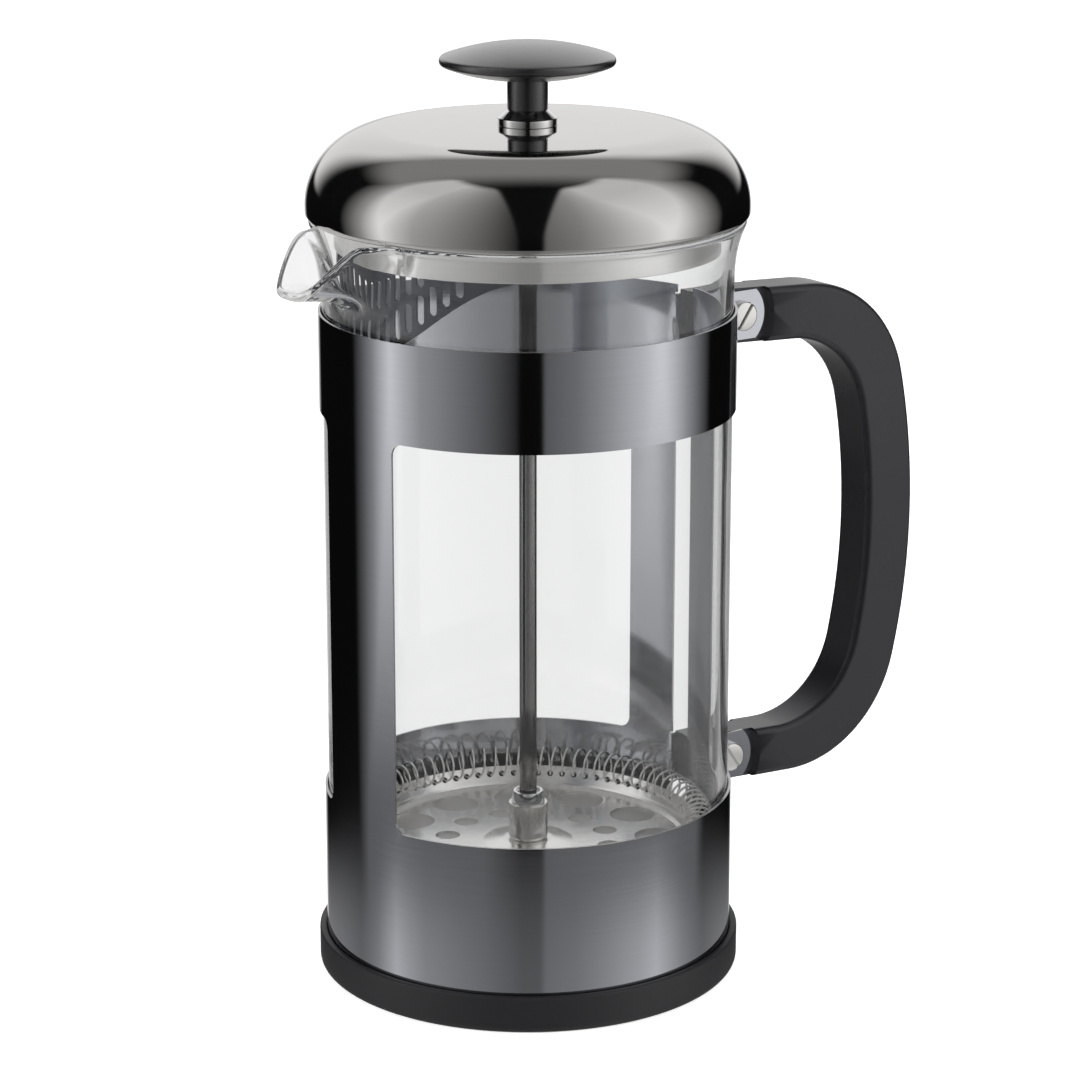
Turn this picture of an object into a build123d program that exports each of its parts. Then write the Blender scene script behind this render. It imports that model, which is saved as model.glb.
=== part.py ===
from build123d import *
from math import asin, atan2, cos, degrees, pi, radians, sin, sqrt, tan
import os

os.makedirs("parts", exist_ok=True)

# A french press. Millimetres, +Z up, origin at the centre of the underside of the base.
# The handle points along +X and the pouring spout along -X.

# Shared fits
slip_gap = 0.3          # between pieces that lift or turn past each other
running_gap = 0.05      # radial play of the rod in its guide and of the guide in the lid
thread_gap = 0.02       # radial play of pieces screwed or pressed on the rod

# Base: a moulded cup that the steel sleeve and the beaker stand in
base_height = 9.2
base_floor = 2.6
base_wall = 1.8
base_foot_round = 2.0
base_lip_round = 0.6
base_recess_inner = 14.0
base_recess_width = 26.0
base_recess_depth = 1.0

# Glass beaker with a flared rim, which rises above the sleeve
glass_radius = 48.6
glass_wall = 2.2
glass_bottom = 3.0
rim_rise = 21.9
glass_heel_round = 6.0
rim_flare = 2.7
flare_height = 13.6

# Spout drawn out of the rim
spout_reach = 18.8
spout_nose_radius = 10.4
spout_half_mouth = 19.0
spout_lip_drop = 11.6
spout_band_gap = 0.9
# Shares of the spout's depth and reach, from the throat up to the rim
spout_levels = ((1.0, 0.0), (0.86, 0.16), (0.75, 0.38), (0.67, 0.68), (0.6, 0.92), (0.5, 1.0), (0.0, 1.0))

# Sleeve of thin steel that carries the beaker
sheet = 0.6
band_height = 23.5
window_height = 94.1
skirt_height = 42.9
window_corner = 3.0
spout_pillar_width = 27.6
handle_pillar_width = 15.2
split_gap = 7.2

# Tabs bent out of the sleeve on both sides of the split
tab_height = 12.2
tab_end_sag = 2.6
upper_tab_reach = 18.6
lower_tab_reach = 16.5
tab_screw_inset = 7.1
upper_tab_rise = 14.7
lower_tab_drop = 4.5

# Screws and nuts through the tabs
screw_radius = 2.0
screw_hole_play = 0.15
screw_head_radius = 3.65
screw_head_height = 1.8
screw_slot_width = 1.0
screw_slot_depth = 0.8
screw_slot_turn = 55.0
nut_across_flats = 7.0
nut_height = 2.2
screw_tip = 0.8

# Moulded handle
handle_width = 12.0
handle_reach = 67.0
handle_bar = 14.7
handle_bow_radius = 162.0
handle_outer_corner = 33.0
handle_inner_corner = 23.5
upper_arm_depth = 13.7
lower_arm_depth = 12.5
arm_rake = 3.0
handle_edge_round = 1.6
tongue_gap = 0.7
pocket_gap = 1.7

# Domed lid
lid_overhang = 0.9
lid_sheet = 0.8
lid_skirt_height = 0.9
lid_flat_radius = 9.0
lid_crown_fall = 0.7
lid_shoulder_round = 18.0
lid_hem_width = 3.8
lid_hem_round = 1.6
lid_seat_gap = 0.2

# Ring and strainer inside the lid
ring_sheet = 0.6
ring_glass_gap = 0.9
ring_drop = 7.0
strainer_sheet = 0.6
strainer_half_angle = 55.0
strainer_depth = 20.6
strainer_weld_lap = 6.0
slot_width = 2.0
slot_length = 6.8
slot_bridge = 2.0
slot_edge_margin = 2.0
slot_pitch_angle = 4.15
slot_columns = 18

# Chrome guide for the rod, clamped through the lid by a nut
guide_radius = 7.0
guide_rim_height = 1.7
guide_cone_height = 1.9
guide_spigot_radius = 4.0
guide_spigot_length = 4.4
guide_nut_radius = 6.6
guide_nut_height = 2.6

# Plunger rod and knob
rod_radius = 2.1
knob_radius = 20.6
knob_rim_height = 1.6
knob_edge_round = 1.0
knob_crown = 3.6
knob_belly = 3.2
knob_stem_radius = 4.75
knob_stem_height = 7.4
knob_insert_radius = 3.3
knob_insert_length = 8.6
rod_top_engagement = 7.6

# Plunger filter, from the rod downwards
filter_level = 30.0
hub_radius = 4.8
hub_height = 9.3
hub_foot_round = 1.0
collar_base_radius = 4.15
collar_top_radius = 3.6
collar_height = 2.9
collar_cup_depth = 0.9
collar_cup_wall = 0.7
plate_sheet = 0.6
plate_boss_radius = 6.0
plate_boss_rise = 0.8
plate_boss_skirt = 5.0
plate_bead_inset = 1.6
plate_bead_rise = 0.8
plate_bead_width = 1.8
plate_rim_flare = 1.6
plate_rim_inset = 3.8
plate_rim_rise = 4.6
large_hole_radius = 5.7
large_hole_ring = 32.0
small_hole_radius = 3.0
small_hole_ring = 20.2
hole_count = 12
rim_hole_radius = 0.75
rim_hole_count = 84
rim_hole_share = 0.6
coil_wire = 0.6
coil_steps = 8
mesh_inset = 0.6
mesh_thickness = 0.4
cross_inset = 3.0
cross_thickness = 0.8
cross_rim_width = 5.0
cross_spoke_width = 9.0
cross_hub_radius = 9.0
filter_nut_across_flats = 11.0
filter_nut_height = 4.2

# Levels and radii that follow from the sizes above
sleeve_inner = glass_radius + slip_gap
sleeve_outer = sleeve_inner + sheet
base_inner = sleeve_outer + thread_gap
base_radius = base_inner + base_wall
skirt_top = base_floor + skirt_height
band_bottom = skirt_top + window_height
band_top = band_bottom + band_height
upper_tab_level = band_bottom + upper_tab_rise
lower_tab_level = skirt_top - lower_tab_drop
rim_top = band_top + rim_rise
rim_radius = glass_radius + rim_flare
glass_bore = glass_radius - glass_wall
spout_depth = rim_rise - spout_band_gap
tab_inner_face = split_gap / 2
tab_outer_face = tab_inner_face + sheet
hem_level = rim_top + lid_seat_gap
lid_radius = rim_radius + lid_overhang
lid_top = hem_level + lid_hem_round + lid_skirt_height + lid_shoulder_round + lid_crown_fall
ring_outer = glass_bore - ring_glass_gap
ring_bottom = hem_level - ring_drop
ring_seat = hem_level + lid_sheet
guide_top = lid_top + guide_rim_height + guide_cone_height
stem_bottom = guide_top
stem_top = stem_bottom + knob_stem_height
hub_bottom = filter_level + plate_boss_rise
hub_top = hub_bottom + hub_height
plate_rim_radius = glass_bore - plate_rim_inset
plate_rim_foot = plate_rim_radius - plate_rim_flare
plate_bead_radius = plate_rim_foot - plate_bead_inset
rim_lean = degrees(atan2(plate_rim_flare, plate_rim_rise))
rim_hole_ring = (
    plate_rim_foot + rim_hole_share * plate_rim_flare + plate_sheet / 2 * cos(radians(rim_lean))
)
rim_hole_level = (
    filter_level + rim_hole_share * plate_rim_rise - plate_sheet / 2 * sin(radians(rim_lean))
)
coil_radius = glass_bore - slip_gap - coil_wire / 2 - rim_hole_ring
coil_level = rim_hole_level + coil_radius
mesh_radius = plate_rim_radius - mesh_inset
cross_radius = mesh_radius - cross_inset
mesh_top = filter_level - plate_sheet
cross_top = mesh_top - mesh_thickness
nut_top = cross_top - cross_thickness
rod_bottom = nut_top - filter_nut_height
rod_top = stem_bottom + rod_top_engagement


# Base: outer cup with a shallow ring recess underneath
with BuildPart() as base:
    with BuildSketch():
        Circle(base_radius)
    extrude(amount=base_height)
    fillet(base.edges().group_by(Axis.Z)[0], base_foot_round)
    with BuildSketch(Plane.XY.offset(base_floor)):
        Circle(base_inner)
    extrude(amount=base_height, mode=Mode.SUBTRACT)
    fillet(base.edges().group_by(Axis.Z)[-1], base_lip_round)
    with BuildSketch():
        Circle(base_recess_inner + base_recess_width)
        Circle(base_recess_inner, mode=Mode.SUBTRACT)
    extrude(amount=base_recess_depth, mode=Mode.SUBTRACT)
base.part.label = "base"
export_step(base.part, "parts/base.step")


# Window cutter: a sector of a ring with rounded corners, one side of the sleeve
split_half_angle = degrees(asin(split_gap / 2 / sleeve_outer))
window_start = split_half_angle + degrees(handle_pillar_width / sleeve_outer)
window_end = 180 - degrees(spout_pillar_width / 2 / sleeve_outer)
with BuildPart() as window:
    with BuildSketch(Plane.XZ.rotated((0, 0, window_start))):
        with Locations((sleeve_inner, skirt_top + window_height / 2)):
            Rectangle(glass_wall + 4 * sheet, window_height)
    revolve(axis=Axis.Z, revolution_arc=window_end - window_start)
    corners = window.edges().filter_by(GeomType.LINE).filter_by(Axis.Z, reverse=True)
    fillet(corners, window_corner)

# Sleeve: a rolled sheet with two windows, split at the handle, with four bent tabs
tab_sizes = {
    "upper": (upper_tab_level, upper_tab_reach),
    "lower": (lower_tab_level, lower_tab_reach),
}
with BuildPart() as sleeve:
    with BuildSketch(Plane.XY.offset(base_floor)):
        Circle(sleeve_outer)
        Circle(sleeve_inner, mode=Mode.SUBTRACT)
    extrude(amount=band_top - base_floor)
    add(window.part, mode=Mode.SUBTRACT)
    add(mirror(window.part, about=Plane.XZ, mode=Mode.PRIVATE), mode=Mode.SUBTRACT)
    with BuildSketch(Plane.XY.offset(base_floor)):
        with Locations((sleeve_outer, 0)):
            Rectangle(glass_radius, split_gap)
    extrude(amount=band_top - base_floor, mode=Mode.SUBTRACT)
    tab_root = sqrt(sleeve_inner**2 - tab_inner_face**2) + sheet / 4
    for level, reach in tab_sizes.values():
        tab_end = sleeve_outer + reach
        half = tab_height / 2
        for side in (1, -1):
            with BuildSketch(Plane.XZ.offset(side * tab_inner_face)):
                with BuildLine():
                    Polyline(
                        (tab_end - tab_end_sag, level - half),
                        (tab_root, level - half),
                        (tab_root, level + half),
                        (tab_end - tab_end_sag, level + half),
                    )
                    ThreePointArc(
                        (tab_end - tab_end_sag, level + half),
                        (tab_end, level),
                        (tab_end - tab_end_sag, level - half),
                    )
                make_face()
                with Locations((tab_end - tab_screw_inset, level)):
                    Circle(screw_radius + screw_hole_play, mode=Mode.SUBTRACT)
            extrude(amount=side * sheet)
sleeve.part.label = "sleeve"
export_step(sleeve.part, "parts/sleeve.step")


# Handle: a bowed bar with two arms, thinned to a tongue between the tabs
def arm_line(level, offset, x):
    """Height of an arm's edge at a distance x from the axis, with the arm's rake."""
    return level + offset - (x - sleeve_outer - upper_tab_reach / 2) * tan(radians(arm_rake))


handle_end = sleeve_outer + tongue_gap
handle_out = sleeve_outer + handle_reach
handle_middle = (upper_tab_level + lower_tab_level) / 2
bow_centre = handle_out - handle_bow_radius
upper_arm_top = upper_arm_depth / 2
lower_arm_top = lower_arm_depth / 2
with BuildSketch(Plane.XZ) as grip_gap:
    with BuildLine():
        Polyline(
            (handle_end, arm_line(upper_tab_level, -upper_arm_top, handle_end)),
            (handle_out, arm_line(upper_tab_level, -upper_arm_top, handle_out)),
            (handle_out, arm_line(lower_tab_level, lower_arm_top, handle_out)),
            (handle_end, arm_line(lower_tab_level, lower_arm_top, handle_end)),
            close=True,
        )
    make_face()
    with Locations((bow_centre, handle_middle)):
        Circle(handle_bow_radius - handle_bar, mode=Mode.INTERSECT)
    fillet(grip_gap.vertices().sort_by(Axis.X)[-2:], handle_inner_corner)

with BuildPart() as handle:
    with BuildSketch(Plane.XZ) as outline:
        with BuildLine():
            Polyline(
                (handle_end, arm_line(upper_tab_level, upper_arm_top, handle_end)),
                (handle_out, arm_line(upper_tab_level, upper_arm_top, handle_out)),
                (handle_out, arm_line(lower_tab_level, -lower_arm_top, handle_out)),
                (handle_end, arm_line(lower_tab_level, -lower_arm_top, handle_end)),
                close=True,
            )
        make_face()
        with Locations((bow_centre, handle_middle)):
            Circle(handle_bow_radius, mode=Mode.INTERSECT)
        fillet(outline.vertices().sort_by(Axis.X)[-2:], handle_outer_corner)
        add(grip_gap.sketch_local, mode=Mode.SUBTRACT)
    extrude(amount=handle_width / 2, both=True)
    fillet(handle.faces().filter_by(Axis.Y).edges(), handle_edge_round)
    for level, reach in tab_sizes.values():
        tab_end = sleeve_outer + reach
        pocket_half = max(upper_arm_depth, lower_arm_depth)
        corner_x = tab_end - tab_end_sag * (2 * pocket_half / tab_height) ** 2 / 2
        for side in (1, -1):
            with BuildSketch(Plane.XZ.offset(side * tab_inner_face)):
                with BuildLine():
                    Polyline(
                        (corner_x, level - pocket_half),
                        (0, level - pocket_half),
                        (0, level + pocket_half),
                        (corner_x, level + pocket_half),
                    )
                    ThreePointArc(
                        (corner_x, level + pocket_half),
                        (tab_end + pocket_gap, level),
                        (corner_x, level - pocket_half),
                    )
                make_face()
            extrude(amount=side * handle_width, mode=Mode.SUBTRACT)
        with BuildSketch(Plane.XZ):
            with Locations((tab_end - tab_screw_inset, level)):
                Circle(screw_radius + screw_hole_play)
        extrude(amount=handle_width, both=True, mode=Mode.SUBTRACT)
handle.part.label = "handle"
export_step(handle.part, "parts/handle.step")


# Slotted screws on the -Y side and hexagon nuts on the +Y side of the tabs
for name, slot_turn in (("upper", screw_slot_turn), ("lower", -screw_slot_turn)):
    level, reach = tab_sizes[name]
    screw_x = sleeve_outer + reach - tab_screw_inset
    head_plane = Plane((screw_x, -tab_outer_face, level), (1, 0, 0), (0, -1, 0))
    nut_plane = Plane((screw_x, tab_outer_face, level), (1, 0, 0), (0, 1, 0))
    with BuildPart() as screw:
        with BuildSketch(head_plane):
            Circle(screw_head_radius)
        extrude(amount=screw_head_height)
        fillet(screw.edges().group_by(Axis.Y)[0], screw_head_height / 4)
        with BuildSketch(head_plane):
            Circle(screw_radius)
        extrude(amount=-(2 * tab_outer_face + nut_height + screw_tip))
        with BuildSketch(head_plane.offset(screw_head_height)):
            Rectangle(3 * screw_head_radius, screw_slot_width, rotation=slot_turn)
        extrude(amount=-screw_slot_depth, mode=Mode.SUBTRACT)
    screw.part.label = f"handle_screw_{name}"
    export_step(screw.part, f"parts/handle_screw_{name}.step")

    with BuildPart() as nut:
        with BuildSketch(nut_plane):
            RegularPolygon(nut_across_flats / 2, 6, major_radius=False)
            Circle(screw_radius + thread_gap, mode=Mode.SUBTRACT)
        extrude(amount=nut_height)
    nut.part.label = f"handle_nut_{name}"
    export_step(nut.part, f"parts/handle_nut_{name}.step")


# Spout bodies: level outlines lofted from the throat to the rim and trimmed along the lip
def spout_body(inset):
    """The spout's outer body, or with inset its hollow, as a solid."""
    tip_x = glass_radius + spout_reach + inset
    root_x = glass_bore - spout_half_mouth / 2
    lip_tip = rim_top - spout_lip_drop
    with BuildPart() as body:
        for depth, share in spout_levels:
            reach = spout_reach * share - inset
            nose_radius = spout_nose_radius * (share + 1) / 2 - inset
            half_mouth = spout_half_mouth * (share + 1) / 2 - inset
            nose_x = glass_radius + reach - nose_radius
            mouth_x = sqrt(glass_radius**2 - half_mouth**2) - glass_wall
            level = rim_top - depth * spout_depth + inset
            with BuildSketch(Plane.XY.offset(level)):
                with Locations((-nose_x, 0)):
                    Circle(nose_radius)
                with Locations((-mouth_x, 0)):
                    Rectangle(glass_wall, 2 * half_mouth)
                make_hull()
        loft(ruled=True)
        with BuildSketch(Plane.XZ):
            with BuildLine():
                lip = Spline(
                    (-tip_x, lip_tip),
                    (-glass_radius, rim_top),
                    tangents=((0.6, 1), (1, 0)),
                )
                Polyline(
                    lip @ 1,
                    (-root_x, rim_top),
                    (-root_x, rim_top - spout_depth),
                    (-tip_x, rim_top - spout_depth),
                    lip @ 0,
                )
            make_face()
        extrude(amount=2 * spout_half_mouth, both=True, mode=Mode.INTERSECT)
    return body.part


spout_outside = spout_body(0)
spout_hollow = spout_body(glass_wall)
with BuildPart() as glass:
    with BuildSketch(Plane.XZ):
        with BuildLine():
            FilletPolyline(
                (0, base_floor),
                (glass_radius, base_floor),
                (glass_radius, rim_top - flare_height),
                radius=glass_heel_round,
            )
            TangentArc(
                (glass_radius, rim_top - flare_height), (rim_radius, rim_top), tangent=(0, 1)
            )
            Polyline((rim_radius, rim_top), (0, rim_top), (0, base_floor))
        make_face()
    revolve(axis=Axis.Z)
    add(spout_outside)
    with BuildSketch(Plane.XZ):
        with BuildLine():
            FilletPolyline(
                (0, base_floor + glass_bottom),
                (glass_bore, base_floor + glass_bottom),
                (glass_bore, rim_top - flare_height),
                radius=glass_heel_round - glass_wall,
            )
            TangentArc(
                (glass_bore, rim_top - flare_height),
                (rim_radius - glass_wall, rim_top),
                tangent=(0, 1),
            )
            Polyline(
                (rim_radius - glass_wall, rim_top), (0, rim_top), (0, base_floor + glass_bottom)
            )
        make_face()
    revolve(axis=Axis.Z, mode=Mode.SUBTRACT)
    add(spout_hollow, mode=Mode.SUBTRACT)
glass.part.label = "glass_beaker"
export_step(glass.part, "parts/glass_beaker.step")


# Lid: a spun dome whose hem turns in under the ring
with BuildPart() as lid_dome:
    with BuildSketch(Plane.XZ):
        with BuildLine():
            FilletPolyline(
                (guide_spigot_radius + running_gap, lid_top),
                (lid_flat_radius, lid_top),
                (lid_radius, lid_top - lid_crown_fall),
                (lid_radius, hem_level),
                (lid_radius - lid_hem_width, hem_level),
                radius=[lid_flat_radius, lid_shoulder_round, lid_hem_round],
            )
            offset(amount=lid_sheet, side=Side.RIGHT)
        make_face()
    revolve(axis=Axis.Z)
lid_dome.part.label = "lid_dome"
export_step(lid_dome.part, "parts/lid_dome.step")

# Bright ring that drops into the beaker, with a flange crimped in the hem
with BuildPart() as lid_ring:
    with BuildSketch(Plane.XZ):
        with BuildLine():
            FilletPolyline(
                (ring_outer, ring_bottom),
                (ring_outer, ring_seat),
                (lid_radius - lid_hem_round, ring_seat),
                radius=ring_sheet,
            )
            offset(amount=ring_sheet, side=Side.LEFT)
        make_face()
    revolve(axis=Axis.Z)
lid_ring.part.label = "lid_inner_ring"
export_step(lid_ring.part, "parts/lid_inner_ring.step")


# Strainer: a curved tongue behind the spout, its slots following its lower edge
strainer_outer = ring_outer - ring_sheet - thread_gap
strainer_inner = strainer_outer - strainer_sheet
strainer_top = ring_bottom + strainer_weld_lap


def strainer_edge(angle):
    """Height of the strainer's lower edge at an angle from the spout."""
    swing = strainer_depth / 2
    return ring_bottom - swing - swing * cos(pi * angle / strainer_half_angle)


with BuildPart() as strainer:
    with BuildSketch(Plane.XY.offset(ring_bottom - strainer_depth)):
        Circle(strainer_outer)
        Circle(strainer_inner, mode=Mode.SUBTRACT)
    extrude(amount=strainer_depth + strainer_weld_lap)
    edge_angles = [strainer_half_angle * k / 4 for k in range(-4, 5)]
    edge_points = [(strainer_outer * sin(radians(a)), strainer_edge(a)) for a in edge_angles]
    with BuildSketch(Plane.YZ):
        with BuildLine():
            Spline(*edge_points, tangents=((1, 0), (1, 0)))
            Polyline(
                edge_points[-1],
                (edge_points[-1][0], strainer_top),
                (edge_points[0][0], strainer_top),
                edge_points[0],
            )
        make_face()
    extrude(amount=-lid_radius, mode=Mode.INTERSECT)
    slot_places = []
    for column in range(slot_columns):
        angle = (column - (slot_columns - 1) / 2) * slot_pitch_angle
        low = strainer_edge(angle) + slot_edge_margin
        while low + slot_width < ring_bottom:
            facing = Vector(1, 0, 0).rotate(Axis.Z, 180 - angle)
            spot = facing * strainer_outer + Vector(0, 0, low + slot_length / 2)
            slot_places.append(Plane(spot, (0, 0, 1), facing))
            low += slot_length + slot_bridge
    with BuildSketch(*slot_places):
        SlotOverall(slot_length, slot_width)
    extrude(amount=3 * strainer_sheet, both=True, mode=Mode.SUBTRACT)
strainer.part.label = "pour_strainer"
export_step(strainer.part, "parts/pour_strainer.step")


# Rod guide: a chromed cone on the lid with a spigot through it, and its nut below
with BuildPart() as rod_guide:
    with BuildSketch(Plane.XZ):
        with BuildLine():
            Polyline(
                (rod_radius + running_gap, lid_top - guide_spigot_length),
                (guide_spigot_radius, lid_top - guide_spigot_length),
                (guide_spigot_radius, lid_top),
                (guide_radius, lid_top),
                (guide_radius, lid_top + guide_rim_height),
                (knob_stem_radius, guide_top),
                (rod_radius + running_gap, guide_top),
                close=True,
            )
        make_face()
    revolve(axis=Axis.Z)
rod_guide.part.label = "rod_guide"
export_step(rod_guide.part, "parts/rod_guide.step")

with BuildPart() as guide_nut:
    with BuildSketch(Plane.XY.offset(lid_top - lid_sheet - guide_nut_height)):
        RegularPolygon(guide_nut_radius, 6)
        Circle(guide_spigot_radius + thread_gap, mode=Mode.SUBTRACT)
    extrude(amount=guide_nut_height)
guide_nut.part.label = "guide_nut"
export_step(guide_nut.part, "parts/guide_nut.step")


# Knob: a pebble-shaped disc on a short stem, moulded around a threaded insert
knob_rim_low = stem_top + knob_belly
knob_rim_high = knob_rim_low + knob_rim_height
knob_top = knob_rim_high + knob_crown
with BuildPart() as knob:
    with BuildSketch(Plane.XZ) as knob_section:
        with BuildLine():
            Polyline(
                (0, knob_top),
                (0, stem_bottom + knob_insert_length),
                (knob_insert_radius, stem_bottom + knob_insert_length),
                (knob_insert_radius, stem_bottom),
                (knob_stem_radius, stem_bottom),
                (knob_stem_radius, stem_top),
            )
            TangentArc((knob_stem_radius, stem_top), (knob_radius, knob_rim_low), tangent=(1, 0))
            Line((knob_radius, knob_rim_low), (knob_radius, knob_rim_high))
            TangentArc((0, knob_top), (knob_radius, knob_rim_high), tangent=(1, 0))
        make_face()
        fillet(knob_section.vertices().group_by(Axis.X)[-1], radius=knob_edge_round)
    revolve(axis=Axis.Z)
knob.part.label = "knob"
export_step(knob.part, "parts/knob.step")

with BuildPart() as knob_insert:
    with BuildSketch(Plane.XY.offset(stem_bottom)):
        Circle(knob_insert_radius - thread_gap)
    extrude(amount=knob_insert_length - thread_gap)
    with BuildSketch(Plane.XY.offset(stem_bottom)):
        Circle(rod_radius + thread_gap)
    extrude(amount=rod_top_engagement, mode=Mode.SUBTRACT)
knob_insert.part.label = "knob_insert"
export_step(knob_insert.part, "parts/knob_insert.step")

with BuildPart() as rod:
    with BuildSketch(Plane.XY.offset(rod_bottom)):
        Circle(rod_radius)
    extrude(amount=rod_top - rod_bottom)
rod.part.label = "plunger_rod"
export_step(rod.part, "parts/plunger_rod.step")


# Hub that clamps the filter to the rod, with a chromed collar above it
with BuildPart() as hub:
    with BuildSketch(Plane.XY.offset(hub_bottom)):
        Circle(hub_radius)
        Circle(rod_radius + thread_gap, mode=Mode.SUBTRACT)
    extrude(amount=hub_height)
    foot = hub.edges().filter_by(GeomType.CIRCLE).group_by(Axis.Z)[0].sort_by(SortBy.RADIUS)[-1]
    fillet(foot, hub_foot_round)
hub.part.label = "filter_hub"
export_step(hub.part, "parts/filter_hub.step")

with BuildPart() as rod_collar:
    with BuildSketch(Plane.XZ):
        with BuildLine():
            Polyline(
                (rod_radius + thread_gap, hub_top),
                (collar_base_radius, hub_top),
                (collar_top_radius, hub_top + collar_height),
                (collar_top_radius - collar_cup_wall, hub_top + collar_height),
                (collar_top_radius - collar_cup_wall, hub_top + collar_height - collar_cup_depth),
                (rod_radius + thread_gap, hub_top + collar_height - collar_cup_depth),
                close=True,
            )
        make_face()
    revolve(axis=Axis.Z)
rod_collar.part.label = "rod_collar"
export_step(rod_collar.part, "parts/rod_collar.step")


# Spring plate: a pressed disc with a raised boss, a bead, two rings of holes and a pierced sloping rim
with BuildPart() as spring_plate:
    with BuildSketch(Plane.XZ):
        with BuildLine():
            Polyline(
                (rod_radius + thread_gap, filter_level + plate_boss_rise),
                (plate_boss_radius, filter_level + plate_boss_rise),
                (plate_boss_radius + plate_boss_skirt, filter_level),
                (plate_bead_radius - plate_bead_width / 2, filter_level),
                (plate_bead_radius, filter_level + plate_bead_rise),
                (plate_bead_radius + plate_bead_width / 2, filter_level),
                (plate_rim_foot, filter_level),
                (plate_rim_radius, filter_level + plate_rim_rise),
            )
            offset(amount=plate_sheet, kind=Kind.INTERSECTION, side=Side.RIGHT)
        make_face()
    revolve(axis=Axis.Z)
    with BuildSketch(Plane.XY.offset(filter_level - plate_sheet)):
        with PolarLocations(large_hole_ring, hole_count):
            Circle(large_hole_radius)
        with PolarLocations(small_hole_ring, hole_count, start_angle=180 / hole_count):
            Circle(small_hole_radius)
    extrude(amount=2 * plate_sheet, both=True, mode=Mode.SUBTRACT)
    with Locations((0, 0, rim_hole_level)):
        with PolarLocations(rim_hole_ring, rim_hole_count):
            Cylinder(
                rim_hole_radius, 4 * plate_sheet, rotation=(0, 90 + rim_lean, 0), mode=Mode.SUBTRACT
            )
spring_plate.part.label = "spring_plate"
export_step(spring_plate.part, "parts/spring_plate.step")


# Coil spring: wire wound into a ring that wipes the glass, each turn passing through one rim hole
def coil_point(step):
    winding = 2 * pi * step / coil_steps
    heading = winding / rim_hole_count
    reach = rim_hole_ring + coil_radius * sin(winding)
    return Vector(reach * cos(heading), reach * sin(heading), coil_level - coil_radius * cos(winding))


with BuildPart() as coil_spring:
    for step in range(rim_hole_count * coil_steps):
        heading = 2 * pi * step / (rim_hole_count * coil_steps)
        core = Vector(rim_hole_ring * cos(heading), rim_hole_ring * sin(heading), coil_level)
        outward = coil_point(step) - core
        along = coil_point(step + 1) - coil_point(step - 1)
        with BuildSketch(Plane(coil_point(step), x_dir=outward, z_dir=along)):
            Rectangle(coil_wire, coil_wire)
    loft(ruled=True)
coil_spring.part.label = "coil_spring"
export_step(coil_spring.part, "parts/coil_spring.step")


# Mesh disc, cross plate and the nut that holds the stack on the rod
with BuildPart() as mesh:
    with BuildSketch(Plane.XY.offset(cross_top)):
        Circle(mesh_radius)
        Circle(rod_radius + thread_gap, mode=Mode.SUBTRACT)
    extrude(amount=mesh_thickness)
mesh.part.label = "filter_mesh"
export_step(mesh.part, "parts/filter_mesh.step")

with BuildPart() as cross_plate:
    with BuildSketch(Plane.XY.offset(nut_top)):
        Circle(cross_radius)
        Circle(cross_radius - cross_rim_width, mode=Mode.SUBTRACT)
        Rectangle(2 * cross_radius - cross_rim_width, cross_spoke_width)
        Rectangle(cross_spoke_width, 2 * cross_radius - cross_rim_width)
        Circle(cross_hub_radius)
        Circle(rod_radius + thread_gap, mode=Mode.SUBTRACT)
    extrude(amount=cross_thickness)
cross_plate.part.label = "cross_plate"
export_step(cross_plate.part, "parts/cross_plate.step")

with BuildPart() as filter_nut:
    with BuildSketch(Plane.XY.offset(rod_bottom)):
        RegularPolygon(filter_nut_across_flats / 2, 6, major_radius=False)
        Circle(rod_radius + thread_gap, mode=Mode.SUBTRACT)
    extrude(amount=filter_nut_height)
filter_nut.part.label = "filter_nut"
export_step(filter_nut.part, "parts/filter_nut.step")
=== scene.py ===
from math import asin, atan2, cos, degrees, pi, radians, sin, tan

import bmesh
import bpy
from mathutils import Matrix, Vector
from mathutils.geometry import delaunay_2d_cdt


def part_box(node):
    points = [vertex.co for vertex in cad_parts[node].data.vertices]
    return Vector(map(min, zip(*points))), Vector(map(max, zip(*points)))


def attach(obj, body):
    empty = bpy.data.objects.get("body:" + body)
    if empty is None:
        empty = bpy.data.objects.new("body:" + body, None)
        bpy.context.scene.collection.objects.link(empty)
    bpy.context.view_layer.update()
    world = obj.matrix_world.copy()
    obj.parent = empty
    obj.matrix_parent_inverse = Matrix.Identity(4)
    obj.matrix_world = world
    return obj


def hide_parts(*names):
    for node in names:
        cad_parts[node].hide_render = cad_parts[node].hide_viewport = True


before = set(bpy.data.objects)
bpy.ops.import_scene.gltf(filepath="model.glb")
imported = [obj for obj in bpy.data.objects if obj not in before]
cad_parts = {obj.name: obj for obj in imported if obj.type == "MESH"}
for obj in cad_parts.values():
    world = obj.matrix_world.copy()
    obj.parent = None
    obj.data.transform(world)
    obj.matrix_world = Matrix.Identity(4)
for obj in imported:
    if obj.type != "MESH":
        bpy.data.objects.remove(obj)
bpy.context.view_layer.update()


# Base: a black plastic cup, injection moulded, with rounded foot and lip.
# The sleeve is pushed into it, and the whole press stands on its flat underside.
def smooth_faces(piece, crease):
    """Smooth a piece, with creases where its faces meet at more than an angle in degrees."""
    piece.data.shade_smooth()
    piece.data.set_sharp_from_angle(angle=radians(crease))


def add_piece(name, work=None):
    """What was worked on, as a piece at the origin."""
    mesh = bpy.data.meshes.new(name)
    if work:
        work.to_mesh(mesh)
        work.free()
    piece = bpy.data.objects.new(name, mesh)
    bpy.context.scene.collection.objects.link(piece)
    return piece


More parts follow.
